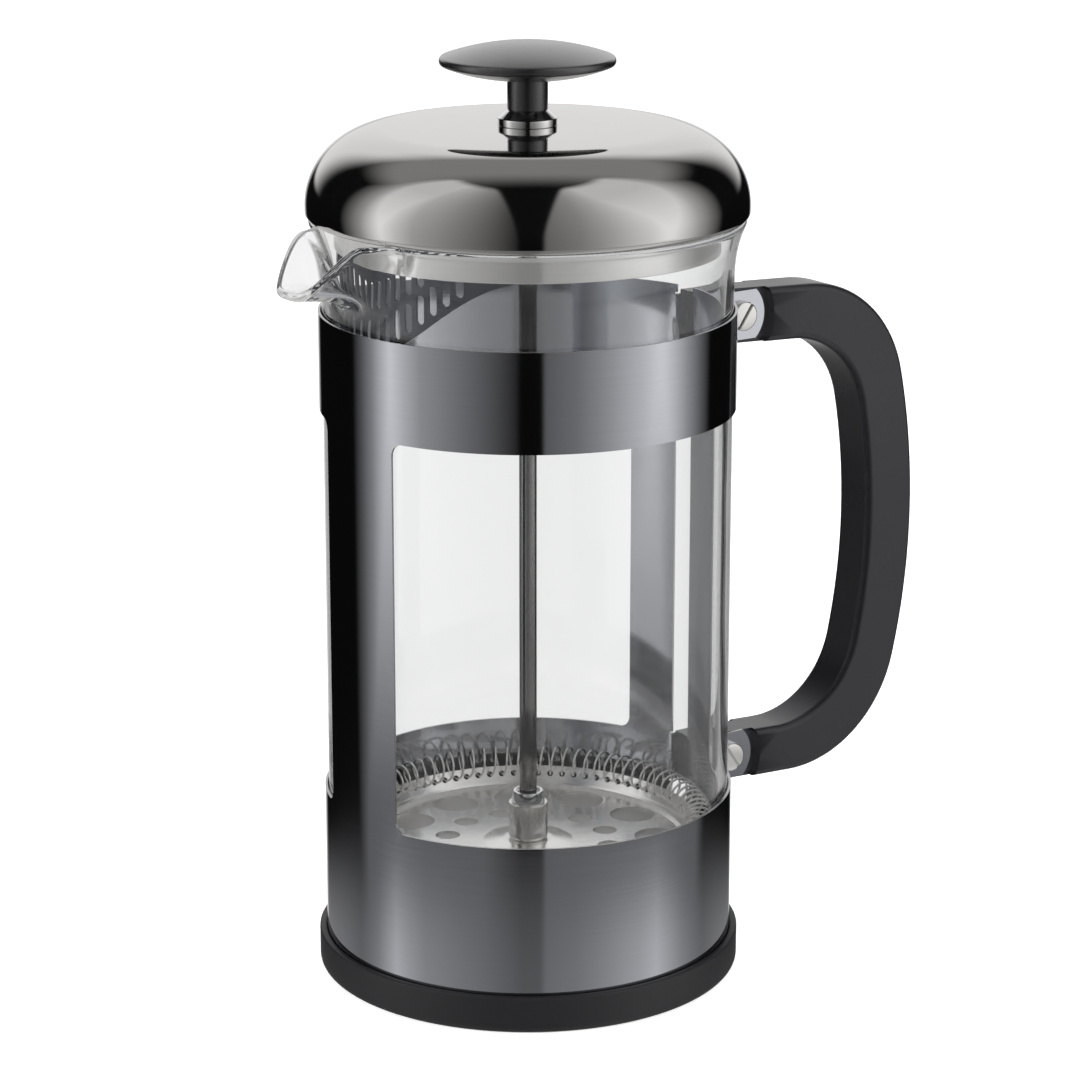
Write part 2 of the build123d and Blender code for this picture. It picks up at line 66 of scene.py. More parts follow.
def close_piece(name, work, crease=35):
    """A closed shape as a smooth piece whose faces point outwards."""
    bmesh.ops.recalc_face_normals(work, faces=work.faces)
    piece = add_piece(name, work)
    smooth_faces(piece, crease)
    return piece


def rounded(corners, steps=8):
    """Outline through (x, y, radius) corners, each rounded by an arc of its radius."""
    points = []
    count = len(corners)
    for i, (x, y, radius) in enumerate(corners):
        corner = Vector((x, y))
        if radius == 0:
            points.append(corner)
            continue
        back = (Vector(corners[i - 1][:2]) - corner).normalized()
        ahead = (Vector(corners[(i + 1) % count][:2]) - corner).normalized()
        half = back.angle(ahead) / 2
        centre = corner + (back + ahead).normalized() * radius / sin(half)
        start = corner + back * radius / tan(half) - centre
        sweep = start.angle_signed(corner + ahead * radius / tan(half) - centre)
        for step in range(steps + 1):
            turn = -sweep * step / steps
            points.append(centre + Vector((
                start.x * cos(turn) - start.y * sin(turn),
                start.x * sin(turn) + start.y * cos(turn),
            )))
    return points


def turned(name, outline, segments=192):
    """Spin a closed outline of (radius, height) points about the axis of the press."""
    work = bmesh.new()
    rings = []
    for radius, height in outline:
        if radius < 1e-6:
            rings.append([work.verts.new((0, 0, height))])
            continue
        angles = [2 * pi * k / segments for k in range(segments)]
        rings.append([work.verts.new((radius * cos(a), radius * sin(a), height)) for a in angles])
    for i, ring in enumerate(rings):
        after = rings[(i + 1) % len(rings)]
        if len(ring) == 1 and len(after) == 1:
            continue
        for k in range(segments):
            near = [ring[k % len(ring)], ring[(k + 1) % len(ring)]]
            far = [after[(k + 1) % len(after)], after[k % len(after)]]
            work.faces.new(list(dict.fromkeys(near + far)))
    return close_piece(name, work)


def shader_group(name, inputs, outputs):
    """An empty shader node group with float or vector inputs and float outputs."""
    group = bpy.data.node_groups.new(name, "ShaderNodeTree")
    for label, value in inputs.items():
        kind = "NodeSocketVector" if value is None else "NodeSocketFloat"
        socket = group.interface.new_socket(label, in_out="INPUT", socket_type=kind)
        if value is not None:
            socket.default_value = value
    for label in outputs:
        group.interface.new_socket(label, in_out="OUTPUT", socket_type="NodeSocketFloat")
    return group, group.nodes.new("NodeGroupInput"), group.nodes.new("NodeGroupOutput")


def set_inputs(tree, node, inputs):
    """Set a node's inputs, by name or as i and a number, to values or link them to sockets."""
    for key, value in inputs.items():
        socket = node.inputs[int(key[1:])] if key[0] == "i" and key[1:].isdigit() else node.inputs[key]
        if isinstance(value, bpy.types.NodeSocket):
            tree.links.new(value, socket)
        else:
            socket.default_value = value


def add_node(tree, kind, settings=None, **inputs):
    """A node with its settings made and its inputs set."""
    node = tree.nodes.new(kind)
    for key, value in (settings or {}).items():
        setattr(node, key, value)
    set_inputs(tree, node, inputs)
    return node


def sums(tree, operation, first, second=0.0, third=0.0):
    """The output of a Math node on values or sockets."""
    node = add_node(tree, "ShaderNodeMath", {"operation": operation}, i0=first, i1=second, i2=third)
    return node.outputs[0]


moulded_grain, given, result = shader_group(
    "moulded grain", {"Place": None, "Fineness": 2600.0}, ("Height", "Tone")
)
grain = add_node(
    moulded_grain, "ShaderNodeTexNoise", Vector=given.outputs["Place"],
    Scale=given.outputs["Fineness"], Detail=3.0,
)
cloud = add_node(moulded_grain, "ShaderNodeTexNoise", Vector=given.outputs["Place"], Scale=38.0, Detail=4.0)
set_inputs(moulded_grain, result, {"Height": grain.outputs["Fac"], "Tone": cloud.outputs["Fac"]})


def plain_material(name):
    """A new material with its node tree, its shader and its Object coordinates."""
    material = bpy.data.materials.new(name)
    material.use_nodes = True
    tree = material.node_tree
    shader = tree.nodes["Principled BSDF"]
    place = tree.nodes.new("ShaderNodeTexCoord").outputs["Object"]
    return material, tree, shader, place


def spread(tree, value, low, high):
    """A value from 0 to 1 stretched to run from low to high, with most of it used."""
    node = add_node(tree, "ShaderNodeMapRange", i0=value, i1=0.3, i2=0.7, i3=low, i4=high)
    return node.outputs[0]


def blend(tree, share, first, second):
    """A colour that goes from the first to the second by its share."""
    kind = {"data_type": "RGBA"}
    return add_node(tree, "ShaderNodeMix", kind, i0=share, i6=first, i7=second).outputs[2]


def raised(tree, height, depth, strength):
    """A normal bent by a height pattern of a depth in metres."""
    return add_node(tree, "ShaderNodeBump", Height=height, Distance=depth, Strength=strength).outputs[0]


def moulded_plastic(name, dark, light, roughness, fineness, depth, shine=0.5, coat=0.0):
    """Moulded plastic: a fine grain in its height and slow clouds in its tone and gloss."""
    material, tree, shader, place = plain_material(name)
    grain = add_node(tree, "ShaderNodeGroup", {"node_tree": moulded_grain}, Place=place, Fineness=fineness)
    tone = grain.outputs["Tone"]
    set_inputs(tree, shader, {
        "Base Color": blend(tree, tone, dark, light),
        "Roughness": spread(tree, tone, roughness - 0.05, roughness + 0.05),
        "Specular IOR Level": shine,
        "Coat Weight": coat,
        "Coat Roughness": roughness,
        "Normal": raised(tree, grain.outputs["Height"], depth, 0.6),
    })
    return material


def paint(piece, *finishes):
    """Give a piece its finishes, one for each material slot."""
    for finish in finishes:
        piece.data.materials.append(finish)


base_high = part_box("base")[1]
base_radius = base_high.x
base_floor = 0.0026
base_wall = 0.0018
cup_inner = base_radius - base_wall
recess_inner = 0.014
recess_outer = 0.040
recess_depth = 0.001
recess_slope = 0.0003
base = turned("base_cup", rounded([
    (0, 0, 0),
    (recess_inner, 0, 0.0002),
    (recess_inner + recess_slope, recess_depth, 0.0003),
    (recess_outer - recess_slope, recess_depth, 0.0003),
    (recess_outer, 0, 0.0002),
    (base_radius, 0, 0.002),
    (base_radius, base_high.z, 0.0006),
    (cup_inner, base_high.z, 0.0006),
    (cup_inner, base_floor, 0),
    (0, base_floor, 0),
]))
paint(base, moulded_plastic(
    "base plastic", (0.009, 0.009, 0.0105, 1), (0.012, 0.012, 0.0135, 1), 0.46, 3200.0, 0.00004
))
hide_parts("base")
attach(base, "stand")


# Sleeve: one blank of dark steel sheet, brushed along its length, with two windows and four tabs.
# It is rolled round the beaker, its tabs are folded out at the handle, and the base holds its foot.
def cut_blank(outline, holes, spacing):
    """A flat blank as points and triangles: inside the outline, outside the holes, a grid between."""
    loops = []
    for loop in [outline] + holes:
        finer = []
        for start, end in zip(loop, loop[1:] + loop[:1]):
            run = Vector(end) - Vector(start)
            parts = 1 + int(max(abs(run.x) / spacing[0], abs(run.y) / spacing[1]))
            finer += [tuple(Vector(start) + run * k / parts) for k in range(parts)]
        loops.append(finer)
    outline = loops[0]
    holes = loops[1:]
    points = []
    edges = []
    for loop in loops:
        first = len(points)
        count = len(loop)
        points += [Vector(p) for p in loop]
        edges += [(first + k, first + (k + 1) % count) for k in range(count)]

    def inside(loop, x, y):
        hit = False
        for k in range(len(loop)):
            (x0, y0), (x1, y1) = loop[k - 1], loop[k]
            if (y0 > y) != (y1 > y) and x < (x1 - x0) * (y - y0) / (y1 - y0) + x0:
                hit = not hit
        return hit

    def kept(x, y):
        return inside(outline, x, y) and not any(inside(hole, x, y) for hole in holes)

    xs, ys = zip(*outline)
    across = int((max(xs) - min(xs)) / spacing[0])
    along = int((max(ys) - min(ys)) / spacing[1])
    for i in range(1, across):
        x = min(xs) + (max(xs) - min(xs)) * i / across
        for j in range(1, along):
            y = min(ys) + (max(ys) - min(ys)) * j / along
            if kept(x, y):
                points.append(Vector((x, y)))
    spots, _, triangles, _, _, _ = delaunay_2d_cdt(points, edges, [list(range(len(outline)))], 1, 1e-7)
    centres = [sum((spots[v] for v in t), Vector((0, 0))) / 3 for t in triangles]
    return spots, [t for t, c in zip(triangles, centres) if kept(c.x, c.y)]


def formed_sheet(name, blank, thickness, shape):
    """Give a blank its thickness and its shape; the cut edges take the second material."""
    spots, triangles = blank
    work = bmesh.new()
    back = [work.verts.new(shape(p.x, p.y, 0)) for p in spots]
    face = [work.verts.new(shape(p.x, p.y, thickness)) for p in spots]
    for a, b, c in triangles:
        work.faces.new((face[a], face[b], face[c]))
        work.faces.new((back[c], back[b], back[a]))
    joined = {edge for a, b, c in triangles for edge in ((a, b), (b, c), (c, a))}
    for a, b in joined:
        if (b, a) not in joined:
            wall = work.faces.new((face[b], face[a], back[a], back[b]))
            wall.material_index = 1
    loose = [v for v in work.verts if not v.link_faces]
    bmesh.ops.delete(work, geom=loose)
    return close_piece(name, work)


def arc_points(centre, radius, start, end, steps):
    """Points on an arc, angles in degrees."""
    angles = [radians(start + (end - start) * k / steps) for k in range(steps + 1)]
    return [(centre[0] + radius * cos(a), centre[1] + radius * sin(a)) for a in angles]


sleeve_low, sleeve_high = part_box("sleeve")
sheet = 0.0006
sleeve_outer = 0.0495
sleeve_inner = sleeve_outer - sheet
sleeve_top = sleeve_high.z
skirt_top = 0.0455
band_bottom = 0.1396
window_corner = 0.003
spout_pillar = 0.0276
handle_pillar = 0.0152
split_half = 0.0036
tab_half = 0.0061
tab_sag = 0.0026
relief = 0.0005
screw_hole = 0.00215
screw_inset = 0.0071
tabs = {"lower": (0.0410, 0.0660), "upper": (0.1543, 0.0681)}
fold_inner = 0.0012
fold_angle = asin((split_half + fold_inner) / (sleeve_inner + fold_inner))
fold_start = sleeve_inner * (pi - fold_angle)
fold_length = fold_inner * (pi / 2 - fold_angle)
fold_x = (sleeve_inner + fold_inner) * cos(fold_angle)
split_edge = sleeve_inner * (pi - asin(split_half / sleeve_outer))


def along_tab(x):
    """Distance along the blank to a point of a folded tab at x from the axis."""
    return fold_start + fold_length + x - fold_x


def blank_edge():
    """The handle edge of the blank from the foot up, with the two tabs and their relief cuts."""
    edge = [(split_edge, sleeve_low.z)]
    for level, end in tabs.values():
        low, high = level - tab_half, level + tab_half
        tip_radius = (tab_half**2 + tab_sag**2) / (2 * tab_sag)
        swing = degrees(asin(tab_half / tip_radius))
        edge += [(split_edge, low - relief), (fold_start, low - relief), (fold_start, low)]
        edge += arc_points((along_tab(end) - tip_radius, level), tip_radius, -swing, swing, 12)
        edge += [(fold_start, high), (fold_start, high + relief), (split_edge, high + relief)]
    return edge + [(split_edge, sleeve_top)]


def rolled(u, z, w):
    """Where a point of the blank lies on the finished sleeve, w into its thickness."""
    side = 1 if u > 0 else -1
    past = abs(u) - fold_start
    on_tab = any(abs(z - level) < tab_half + relief / 2 for level, _ in tabs.values())
    if past <= 0 or not on_tab:
        angle = pi - abs(u) / sleeve_inner
        return Vector(((sleeve_inner + w) * cos(angle), side * (sleeve_inner + w) * sin(angle), z))
    turn = min(fold_angle + past / fold_inner, pi / 2)
    x = fold_x - (fold_inner - w) * cos(turn) + max(past - fold_length, 0)
    y = (sleeve_inner + fold_inner) * sin(fold_angle) - (fold_inner - w) * sin(turn)
    return Vector((x, side * y, z))


near_edge = blank_edge()
outline = near_edge + [(-u, z) for u, z in reversed(near_edge)]
window_u = (
    sleeve_inner * spout_pillar / 2 / sleeve_outer,
    split_edge - sleeve_inner * handle_pillar / sleeve_outer,
)
holes = []
for side in (1, -1):
    low_u, high_u = sorted(side * u for u in window_u)
    window = rounded([
        (low_u, skirt_top, window_corner),
        (high_u, skirt_top, window_corner),
        (high_u, band_bottom, window_corner),
        (low_u, band_bottom, window_corner),
    ])
    holes.append([tuple(p) for p in window])
    for level, end in tabs.values():
        holes.append(arc_points((side * along_tab(end - screw_inset), level), screw_hole, 0, 345, 23))
sleeve = formed_sheet("sleeve_sheet", cut_blank(outline, holes, (0.0016, 0.0040)), sheet, rolled)

brush_lines, given, result = shader_group(
    "brush lines", {"Place": None, "Stretch": 0.02, "Fineness": 2200.0}, ("Lines", "Haze")
)
squeeze = add_node(
    brush_lines, "ShaderNodeCombineXYZ", X=given.outputs["Stretch"], Y=given.outputs["Stretch"], Z=1.0
)
drawn = add_node(
    brush_lines, "ShaderNodeVectorMath", {"operation": "MULTIPLY"},
    i0=given.outputs["Place"], i1=squeeze.outputs[0],
)
lines = add_node(
    brush_lines, "ShaderNodeTexNoise", Vector=drawn.outputs[0], Scale=given.outputs["Fineness"],
    Detail=4.0, Roughness=0.7,
)
haze = add_node(brush_lines, "ShaderNodeTexNoise", Vector=given.outputs["Place"], Scale=30.0, Detail=3.0)
set_inputs(brush_lines, result, {"Lines": lines.outputs["Fac"], "Haze": haze.outputs["Fac"]})


def brushed_metal(name, colour, roughness, contrast, stretch=0.02, fineness=2200.0, depth=0.0, drawn_out=0.0):
    """Metal with brush lines round the axis in its tone, gloss and height, and a faint haze."""
    material, tree, shader, place = plain_material(name)
    brush = add_node(
        tree, "ShaderNodeGroup", {"node_tree": brush_lines}, Place=place, Stretch=stretch, Fineness=fineness
    )
    lines = brush.outputs["Lines"]
    dark = [c * (1 - contrast) for c in colour] + [1]
    light = [min(c * (1 + contrast), 1) for c in colour] + [1]
    streaks = spread(tree, lines, roughness * 0.92, roughness * 1.08)
    clouds = spread(tree, brush.outputs["Haze"], -0.1 * roughness, 0.1 * roughness)
    set_inputs(tree, shader, {
        "Metallic": 1.0,
        "Anisotropic": drawn_out,
        "Anisotropic Rotation": 0.25,
        "Base Color": blend(tree, spread(tree, lines, 0.0, 1.0), dark, light),
        "Roughness": sums(tree, "ADD", streaks, clouds),
    })
    if drawn_out:
        direction = add_node(tree, "ShaderNodeTangent", {"direction_type": "RADIAL", "axis": "Z"})
        set_inputs(tree, shader, {"Tangent": direction.outputs[0]})
    if depth:
        set_inputs(tree, shader, {"Normal": raised(tree, lines, depth, 0.5)})
    return material


paint(
    sleeve,
    brushed_metal("brushed dark steel", (0.53, 0.54, 0.575), 0.075, 0.03, 0.008, 6000.0, 0.000002, 0.3),
    brushed_metal("cut steel edge", (0.5, 0.5, 0.5), 0.3, 0.05),
)
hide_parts("sleeve")
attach(sleeve, "stand")


# Handle: a bowed bar of black plastic, moulded in one with two arms that thin to tongues.
# Each tongue is clamped between two tabs of the sleeve.
def smooth_copy(name, node, crease=30):
    """A merged copy of a solid's mesh with smooth faces, for a piece whose shape is already right."""
    work = bmesh.new()
    work.from_mesh(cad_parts[node].data)
    bmesh.ops.remove_doubles(work, verts=work.verts, dist=2e-6)
    bmesh.ops.dissolve_degenerate(work, edges=work.edges, dist=1e-7)
    piece = add_piece(name, work)
    smooth_faces(piece, crease)
    weighted = piece.modifiers.new("even faces", "WEIGHTED_NORMAL")
    weighted.keep_sharp = True
    return piece


handle = smooth_copy("handle_bar", "handle")
paint(handle, moulded_plastic(
    "handle plastic", (0.006, 0.006, 0.0085, 1), (0.0085, 0.0085, 0.0115, 1), 0.28, 2400.0, 0.00002, 0.6
))
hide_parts("handle")
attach(handle, "stand")


# Handle screws and nuts: plated steel, a slotted cheese-head screw through each pair of tabs.
# A hexagon nut on the far side pulls tabs and tongue together.
def node_tree(name, inputs):
    """An empty Geometry Nodes tree with named inputs and one geometry output."""
    tree = bpy.data.node_groups.new(name, "GeometryNodeTree")
    tree.interface.new_socket("Geometry", in_out="INPUT", socket_type="NodeSocketGeometry")
    for label, kind in inputs.items():
        tree.interface.new_socket(label, in_out="INPUT", socket_type="NodeSocket" + kind)
    tree.interface.new_socket("Geometry", in_out="OUTPUT", socket_type="NodeSocketGeometry")
    return tree, tree.nodes.new("NodeGroupInput").outputs, tree.nodes.new("NodeGroupOutput").inputs


def end_tree(tree, given, result, geometry):
    """Close a tree: real geometry, with the material that is given."""
    real = add_node(tree, "GeometryNodeRealizeInstances", Geometry=geometry)
    painted = add_node(
        tree, "GeometryNodeSetMaterial", Geometry=real.outputs[0], Material=given["Material"]
    )
    tree.links.new(painted.outputs[0], result["Geometry"])


def run_trees(piece, runs):
    """Run trees on a piece in turn, each with its values, and keep the result as its plain mesh."""
    for tree, values in runs:
        step = piece.modifiers.new(tree.name, "NODES")
        step.node_group = tree
        for item in tree.interface.items_tree:
            if item.in_out == "INPUT" and item.name in values:
                step[item.identifier] = values[item.name]
    shaped = piece.evaluated_get(bpy.context.evaluated_depsgraph_get())
    mesh = bpy.data.meshes.new_from_object(shaped)
    piece.modifiers.clear()
    piece.data = mesh
    return piece


def set_places(name, spots):
    """Points to set things on, each with its own turn about three axes."""
    piece = add_piece(name)
    piece.data.from_pydata([place for place, _ in spots], [], [])
    turns = piece.data.attributes.new("turn", "FLOAT_VECTOR", "POINT")
    for k, (_, turn) in enumerate(spots):
        turns.data[k].vector = turn
    return piece


def set_copies(tree, places, pattern):
    """Copies of a pattern object on places, each with the turn of its place."""
    shape = add_node(tree, "GeometryNodeObjectInfo", Object=pattern)
    turn = add_node(tree, "GeometryNodeInputNamedAttribute", {"data_type": "FLOAT_VECTOR"}, Name="turn")
    copies = add_node(
        tree, "GeometryNodeInstanceOnPoints", Points=places,
        Instance=shape.outputs["Geometry"], Rotation=turn.outputs[0],
    )
    return copies.outputs[0]


set_on_places, given, result = node_tree("set on places", {"Pattern": "Object", "Material": "Material"})
end_tree(set_on_places, given, result, set_copies(set_on_places, given["Geometry"], given["Pattern"]))

screw_radius = 0.002
screw_head = 0.00365
screw_head_height = 0.0018
screw_slot_depth = 0.0008
screw_slot_half = 0.0005
screw_past_tab = 0.003
tab_face = split_half + sheet
screw_length = 2 * tab_face + screw_past_tab
head_pattern = turned("screw_pattern", rounded([
    (0, screw_head_height, 0),
    (screw_head, screw_head_height, 0.0005),
    (screw_head, 0, 0.0001),
    (screw_radius, 0, 0),
    (screw_radius, -screw_length, 0.0004),
    (0, -screw_length, 0),
]), 64)
work = bmesh.new()
bmesh.ops.create_cube(work, size=1)
bmesh.ops.scale(work, vec=(4 * screw_head, 2 * screw_slot_half, 2 * screw_slot_depth), verts=work.verts)
bmesh.ops.translate(work, vec=(0, 0, screw_head_height), verts=work.verts)
cutter = close_piece("slot_cutter", work)
slot_cut = head_pattern.modifiers.new("slot", "BOOLEAN")
slot_cut.object = cutter
slot_cut.solver = "EXACT"
nut_height = 0.0022
nut_half = 0.0035
thread_play = 0.00002


def threaded_on(name, thread, outer, low, high, low_edge, high_edge, steps, segments):
    """A disc or nut between two levels, bored for a thread, with its two outer edges rounded."""
    bore = thread + thread_play
    return turned(name, rounded([
        (bore, low, 0),
        (outer, low, low_edge),
        (outer, high, high_edge),
        (bore, high, 0),
    ], steps), segments)


nut_pattern = threaded_on("nut_pattern", screw_radius, nut_half / cos(pi / 6), 0, nut_height, 0, 0.0003, 2, 6)
plated_steel = brushed_metal("plated steel", (0.82, 0.81, 0.79), 0.22, 0.03, 0.3, 900.0)
slot_turn = radians(55)
screw_spots = []
nut_spots = []
for name, (level, end) in tabs.items():
    lean = slot_turn if name == "upper" else -slot_turn
    screw_spots.append(((end - screw_inset, -tab_face, level), (pi / 2, -lean, 0)))
    nut_spots.append(((end - screw_inset, tab_face, level), (-pi / 2, 0, 0)))
screws = run_trees(set_places("handle_screws", screw_spots), [
    (set_on_places, {"Pattern": head_pattern, "Material": plated_steel}),
])
nuts = run_trees(set_places("handle_nuts", nut_spots), [
    (set_on_places, {"Pattern": nut_pattern, "Material": plated_steel}),
])
for pattern_piece in (head_pattern, cutter, nut_pattern):
    bpy.data.objects.remove(pattern_piece)
for piece in (screws, nuts):
    smooth_faces(piece, 30)
    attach(piece, "stand")
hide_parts("handle_screw_upper", "handle_screw_lower")
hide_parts("handle_nut_upper", "handle_nut_lower")


# Beaker: clear heatproof glass, blown and drawn, with a rounded heel and a flared, fire-polished rim.
# Its spout is pulled out of the hot rim with a tool; it stands loose in the sleeve on the base.
glass_low, glass_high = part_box("glass_beaker")
glass_radius = 0.0486
glass_wall = 0.0022
glass_floor = 0.003
heel = 0.006
rim_top = glass_high.z
rim_radius = 0.0513
throat = 0.1640
lip_round = glass_wall / 2
spout_tip = -glass_low.x - lip_round
spout_tip_level = 0.1727
rim_bend = [(glass_radius, 0.1735), (glass_radius, 0.1775)]
spout_bend = [(0.0490, 0.1712), (0.0560, 0.1716)]
bore = glass_radius - glass_wall
inner_heel = heel - glass_wall
heel_level = glass_low.z + heel
inner_heel_level = glass_low.z + glass_floor + inner_heel
reach_width, reach_curve = radians(20), 1.3
drop_width, drop_curve = radians(14), 1.7
wall_steps = 24
neck_steps = 32
lip_steps = 8


def spout_pull(angle):
    """Shares of the spout's reach and drop at an angle from the spout."""
    reach = min(abs(angle) / reach_width, 1)
    drop = min(abs(angle) / drop_width, 1)
    return (1 + cos(pi * reach**reach_curve)) / 2, (1 + cos(pi * drop**drop_curve)) / 2


def neck_point(angle, s):
    """Outer face of the glass above the throat, from the wall at s = 0 to the lip at s = 1."""
    out, down = spout_pull(angle)
    plain = [(glass_radius, throat), *rim_bend, (rim_radius, rim_top - lip_round)]
    drawn = [(glass_radius, throat), *spout_bend, (spout_tip, spout_tip_level)]
    radius = 0
    level = 0
    weights = ((1 - s)**3, 3 * s * (1 - s)**2, 3 * s**2 * (1 - s), s**3)
    for weight, (r0, z0), (r1, z1) in zip(weights, plain, drawn):
        radius += weight * (r0 + (r1 - r0) * out)
        level += weight * (z0 + (z1 - z0) * down)
    return Vector((-radius * cos(angle), -radius * sin(angle), level))


def spaced_angles():
    """Angles round the beaker, close together at the spout."""
    half = []
    angle = 0.0
    while angle < 180:
        half.append(angle)
        angle += 0.5 if angle < 24 else 1.5 if angle < 36 else 3.0
    return [radians(a) for a in half] + [pi] + [-radians(a) for a in reversed(half[1:])]


def glass_column(angle):
    """One section of the beaker's wall, from the middle of its underside round to its inner floor."""
    def spot(radius, level):
        return Vector((-radius * cos(angle), -radius * sin(angle), level))

    def wall(radius, start):
        return [spot(radius, start + (throat - start) * k / wall_steps) for k in range(1, wall_steps)]

    column = [spot(r, z) for r, z in arc_points((glass_radius - heel, heel_level), heel, -90, 0, 10)]
    column += wall(glass_radius, heel_level)
    step = 1e-3
    inner = []
    lip = []
    for k in range(neck_steps + 1):
        s = k / neck_steps
        point = neck_point(angle, s)
        along = neck_point(angle, s + step) - neck_point(angle, s - step)
        around = neck_point(angle + step, s) - neck_point(angle - step, s)
        normal = around.cross(along).normalized()
        column.append(point)
        inner.append(point - normal * glass_wall)
        if k == neck_steps:
            forward = along.normalized()
            middle = point - normal * lip_round
            for bend in range(1, lip_steps):
                swing = pi * bend / lip_steps
                lip.append(middle + (normal * cos(swing) + forward * sin(swing)) * lip_round)
    column += lip + inner[::-1] + wall(bore, inner_heel_level)[::-1]
    bend = arc_points((bore - inner_heel, inner_heel_level), inner_heel, 0, -90, 8)
    return column + [spot(r, z) for r, z in bend]


work = bmesh.new()
columns = [[work.verts.new(p) for p in glass_column(a)] for a in spaced_angles()]
for left, right in zip(columns, columns[1:] + columns[:1]):
    for k in range(len(left) - 1):
        work.faces.new((left[k], left[k + 1], right[k + 1], right[k]))
work.faces.new([c[0] for c in columns])
work.faces.new([c[-1] for c in columns])
beaker = close_piece("beaker_glass", work, 50)

clear_glass, tree, shader, place = plain_material("clear glass")
ripple = add_node(tree, "ShaderNodeTexNoise", Vector=place, Scale=22.0, Detail=1.0).outputs["Fac"]
set_inputs(tree, shader, {
    "Base Color": (0.955, 0.958, 0.958, 1),
    "Transmission Weight": 1.0,
    "IOR": 1.47,
    "Roughness": spread(tree, ripple, 0.0, 0.02),
    "Normal": raised(tree, ripple, 0.0008, 0.26),
})
path = tree.nodes.new("ShaderNodeLightPath")
soft_light = sums(tree, "MAXIMUM", path.outputs["Is Shadow Ray"], path.outputs["Is Diffuse Ray"])
trapped = sums(tree, "GREATER_THAN", path.outputs["Glossy Depth"], 3.5)
through = sums(tree, "MAXIMUM", soft_light, trapped)
pale = add_node(tree, "ShaderNodeBsdfTransparent", Color=(0.95, 0.95, 0.95, 1))
either = add_node(tree, "ShaderNodeMixShader", Fac=through, i1=shader.outputs[0], i2=pale.outputs[0])
tree.links.new(either.outputs[0], tree.nodes["Material Output"].inputs["Surface"])
paint(beaker, clear_glass)
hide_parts("glass_beaker")
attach(beaker, "beaker")


# Lid: a dome spun from polished steel sheet, its hem turned in underneath.
# It rests on the rim of the beaker and has a hole in its top for the rod guide.
lid_low, lid_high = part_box("lid_dome")
lid_radius = lid_high.x
lid_sheet = 0.0008
shoulder = 0.018
crown_flat = 0.009
crown_fall = 0.0007
hem_round = 0.0016
hem_width = 0.0038
guide_hole = 0.00405
guide_play = 0.00005
spigot = guide_hole - guide_play
shoulder_steps = 40
crown_end = lid_radius - shoulder
crown_drop = crown_fall * (crown_end - crown_flat) / (lid_radius - crown_flat)
crown_radius = ((crown_end - crown_flat)**2 + crown_drop**2) / (2 * crown_drop)
crown_lean = degrees(asin((crown_end - crown_flat) / crown_radius))
shoulder_x = crown_end - shoulder * sin(radians(crown_lean))
shoulder_scale = (lid_radius - shoulder_x) / shoulder
shoulder_z = lid_high.z - crown_drop - shoulder * cos(radians(crown_lean))


def dome_section(inset):
    """The dome from its hole to its hem, inset into the sheet."""
    crown = arc_points((crown_flat, lid_high.z - crown_radius), crown_radius - inset, 90, 90 - crown_lean, 16)
    bend = arc_points((shoulder_x, shoulder_z), shoulder, 90 - crown_lean, 0, shoulder_steps)
    curve = [(shoulder_x + (x - shoulder_x) * shoulder_scale, z) for x, z in bend]
    if inset:
        leans = [radians((90 - crown_lean) * (1 - k / shoulder_steps)) for k in range(shoulder_steps + 1)]
        curve = [(x - inset * cos(a), z - inset * sin(a)) for (x, z), a in zip(curve, leans)]
    hem = arc_points((lid_radius - hem_round, lid_low.z + hem_round), hem_round - inset, 0, -90, 8)
    return [(guide_hole, lid_high.z - inset)] + crown + curve[1:] + hem + [
        (lid_radius - hem_width, lid_low.z + inset)
    ]


lid = turned("lid_dome_shell", dome_section(0) + dome_section(lid_sheet)[::-1], 256)
paint(
    lid,
    brushed_metal("polished lid steel", (0.66, 0.645, 0.63), 0.06, 0.015, 0.008, 5000.0),
    brushed_metal("plain steel in the lid", (0.9, 0.89, 0.87), 0.25, 0.03, 0.01, 3000.0),
)
for face in lid.data.polygons:
    outward = Vector((face.center.x, face.center.y, 0)).normalized()
    if face.normal.dot(outward) < -0.05 or (face.normal.z < -0.5 and face.center.z > shoulder_z):
        face.material_index = 1
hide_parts("lid_dome")
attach(lid, "lid")


# Inner ring: a drawn band of bright steel that centres the lid in the beaker.
# Its flange is crimped in the lid's hem.
ring_low, ring_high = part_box("lid_inner_ring")
ring_sheet = 0.0006
ring_outer = 0.0455
flange_level = ring_high.z - ring_sheet
ring = turned("lid_ring", rounded([
    (ring_outer - ring_sheet, ring_low.z, 0.0002),
    (ring_outer, ring_low.z, 0.0002),
    (ring_outer, flange_level, 0.0006),
    (ring_high.x, flange_level, 0.0002),
    (ring_high.x, ring_high.z, 0.0002),
    (ring_outer - ring_sheet, ring_high.z, 0.0012),
]), 256)
paint(ring, brushed_metal("bright ring steel", (0.9, 0.89, 0.87), 0.1, 0.03, 0.01, 3000.0))
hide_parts("lid_inner_ring")
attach(ring, "lid")


# Strainer: a tongue of satin steel sheet behind the spout, with columns of punched slots; its colour is
# darkened as painted shade.
# It is spot-welded inside the ring and keeps grounds back while pouring.
strainer_low, strainer_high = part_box("pour_strainer")
strainer_sheet = 0.0006
strainer_outer = ring_outer - ring_sheet - thread_play
strainer_inner = strainer_outer - strainer_sheet
strainer_half = radians(55)
tongue_share = 0.98
edge_steps = 60
slot_columns = 18
slot_pitch = radians(4.15)
slot_width = 0.002
slot_length = 0.0068
slot_bridge = 0.002
slot_margin = 0.002


def strainer_edge(angle):
    """Height of the strainer's lower edge at an angle from the spout."""
    swing = (ring_low.z - strainer_low.z) / 2
    return ring_low.z - swing - swing * cos(pi * angle / strainer_half)


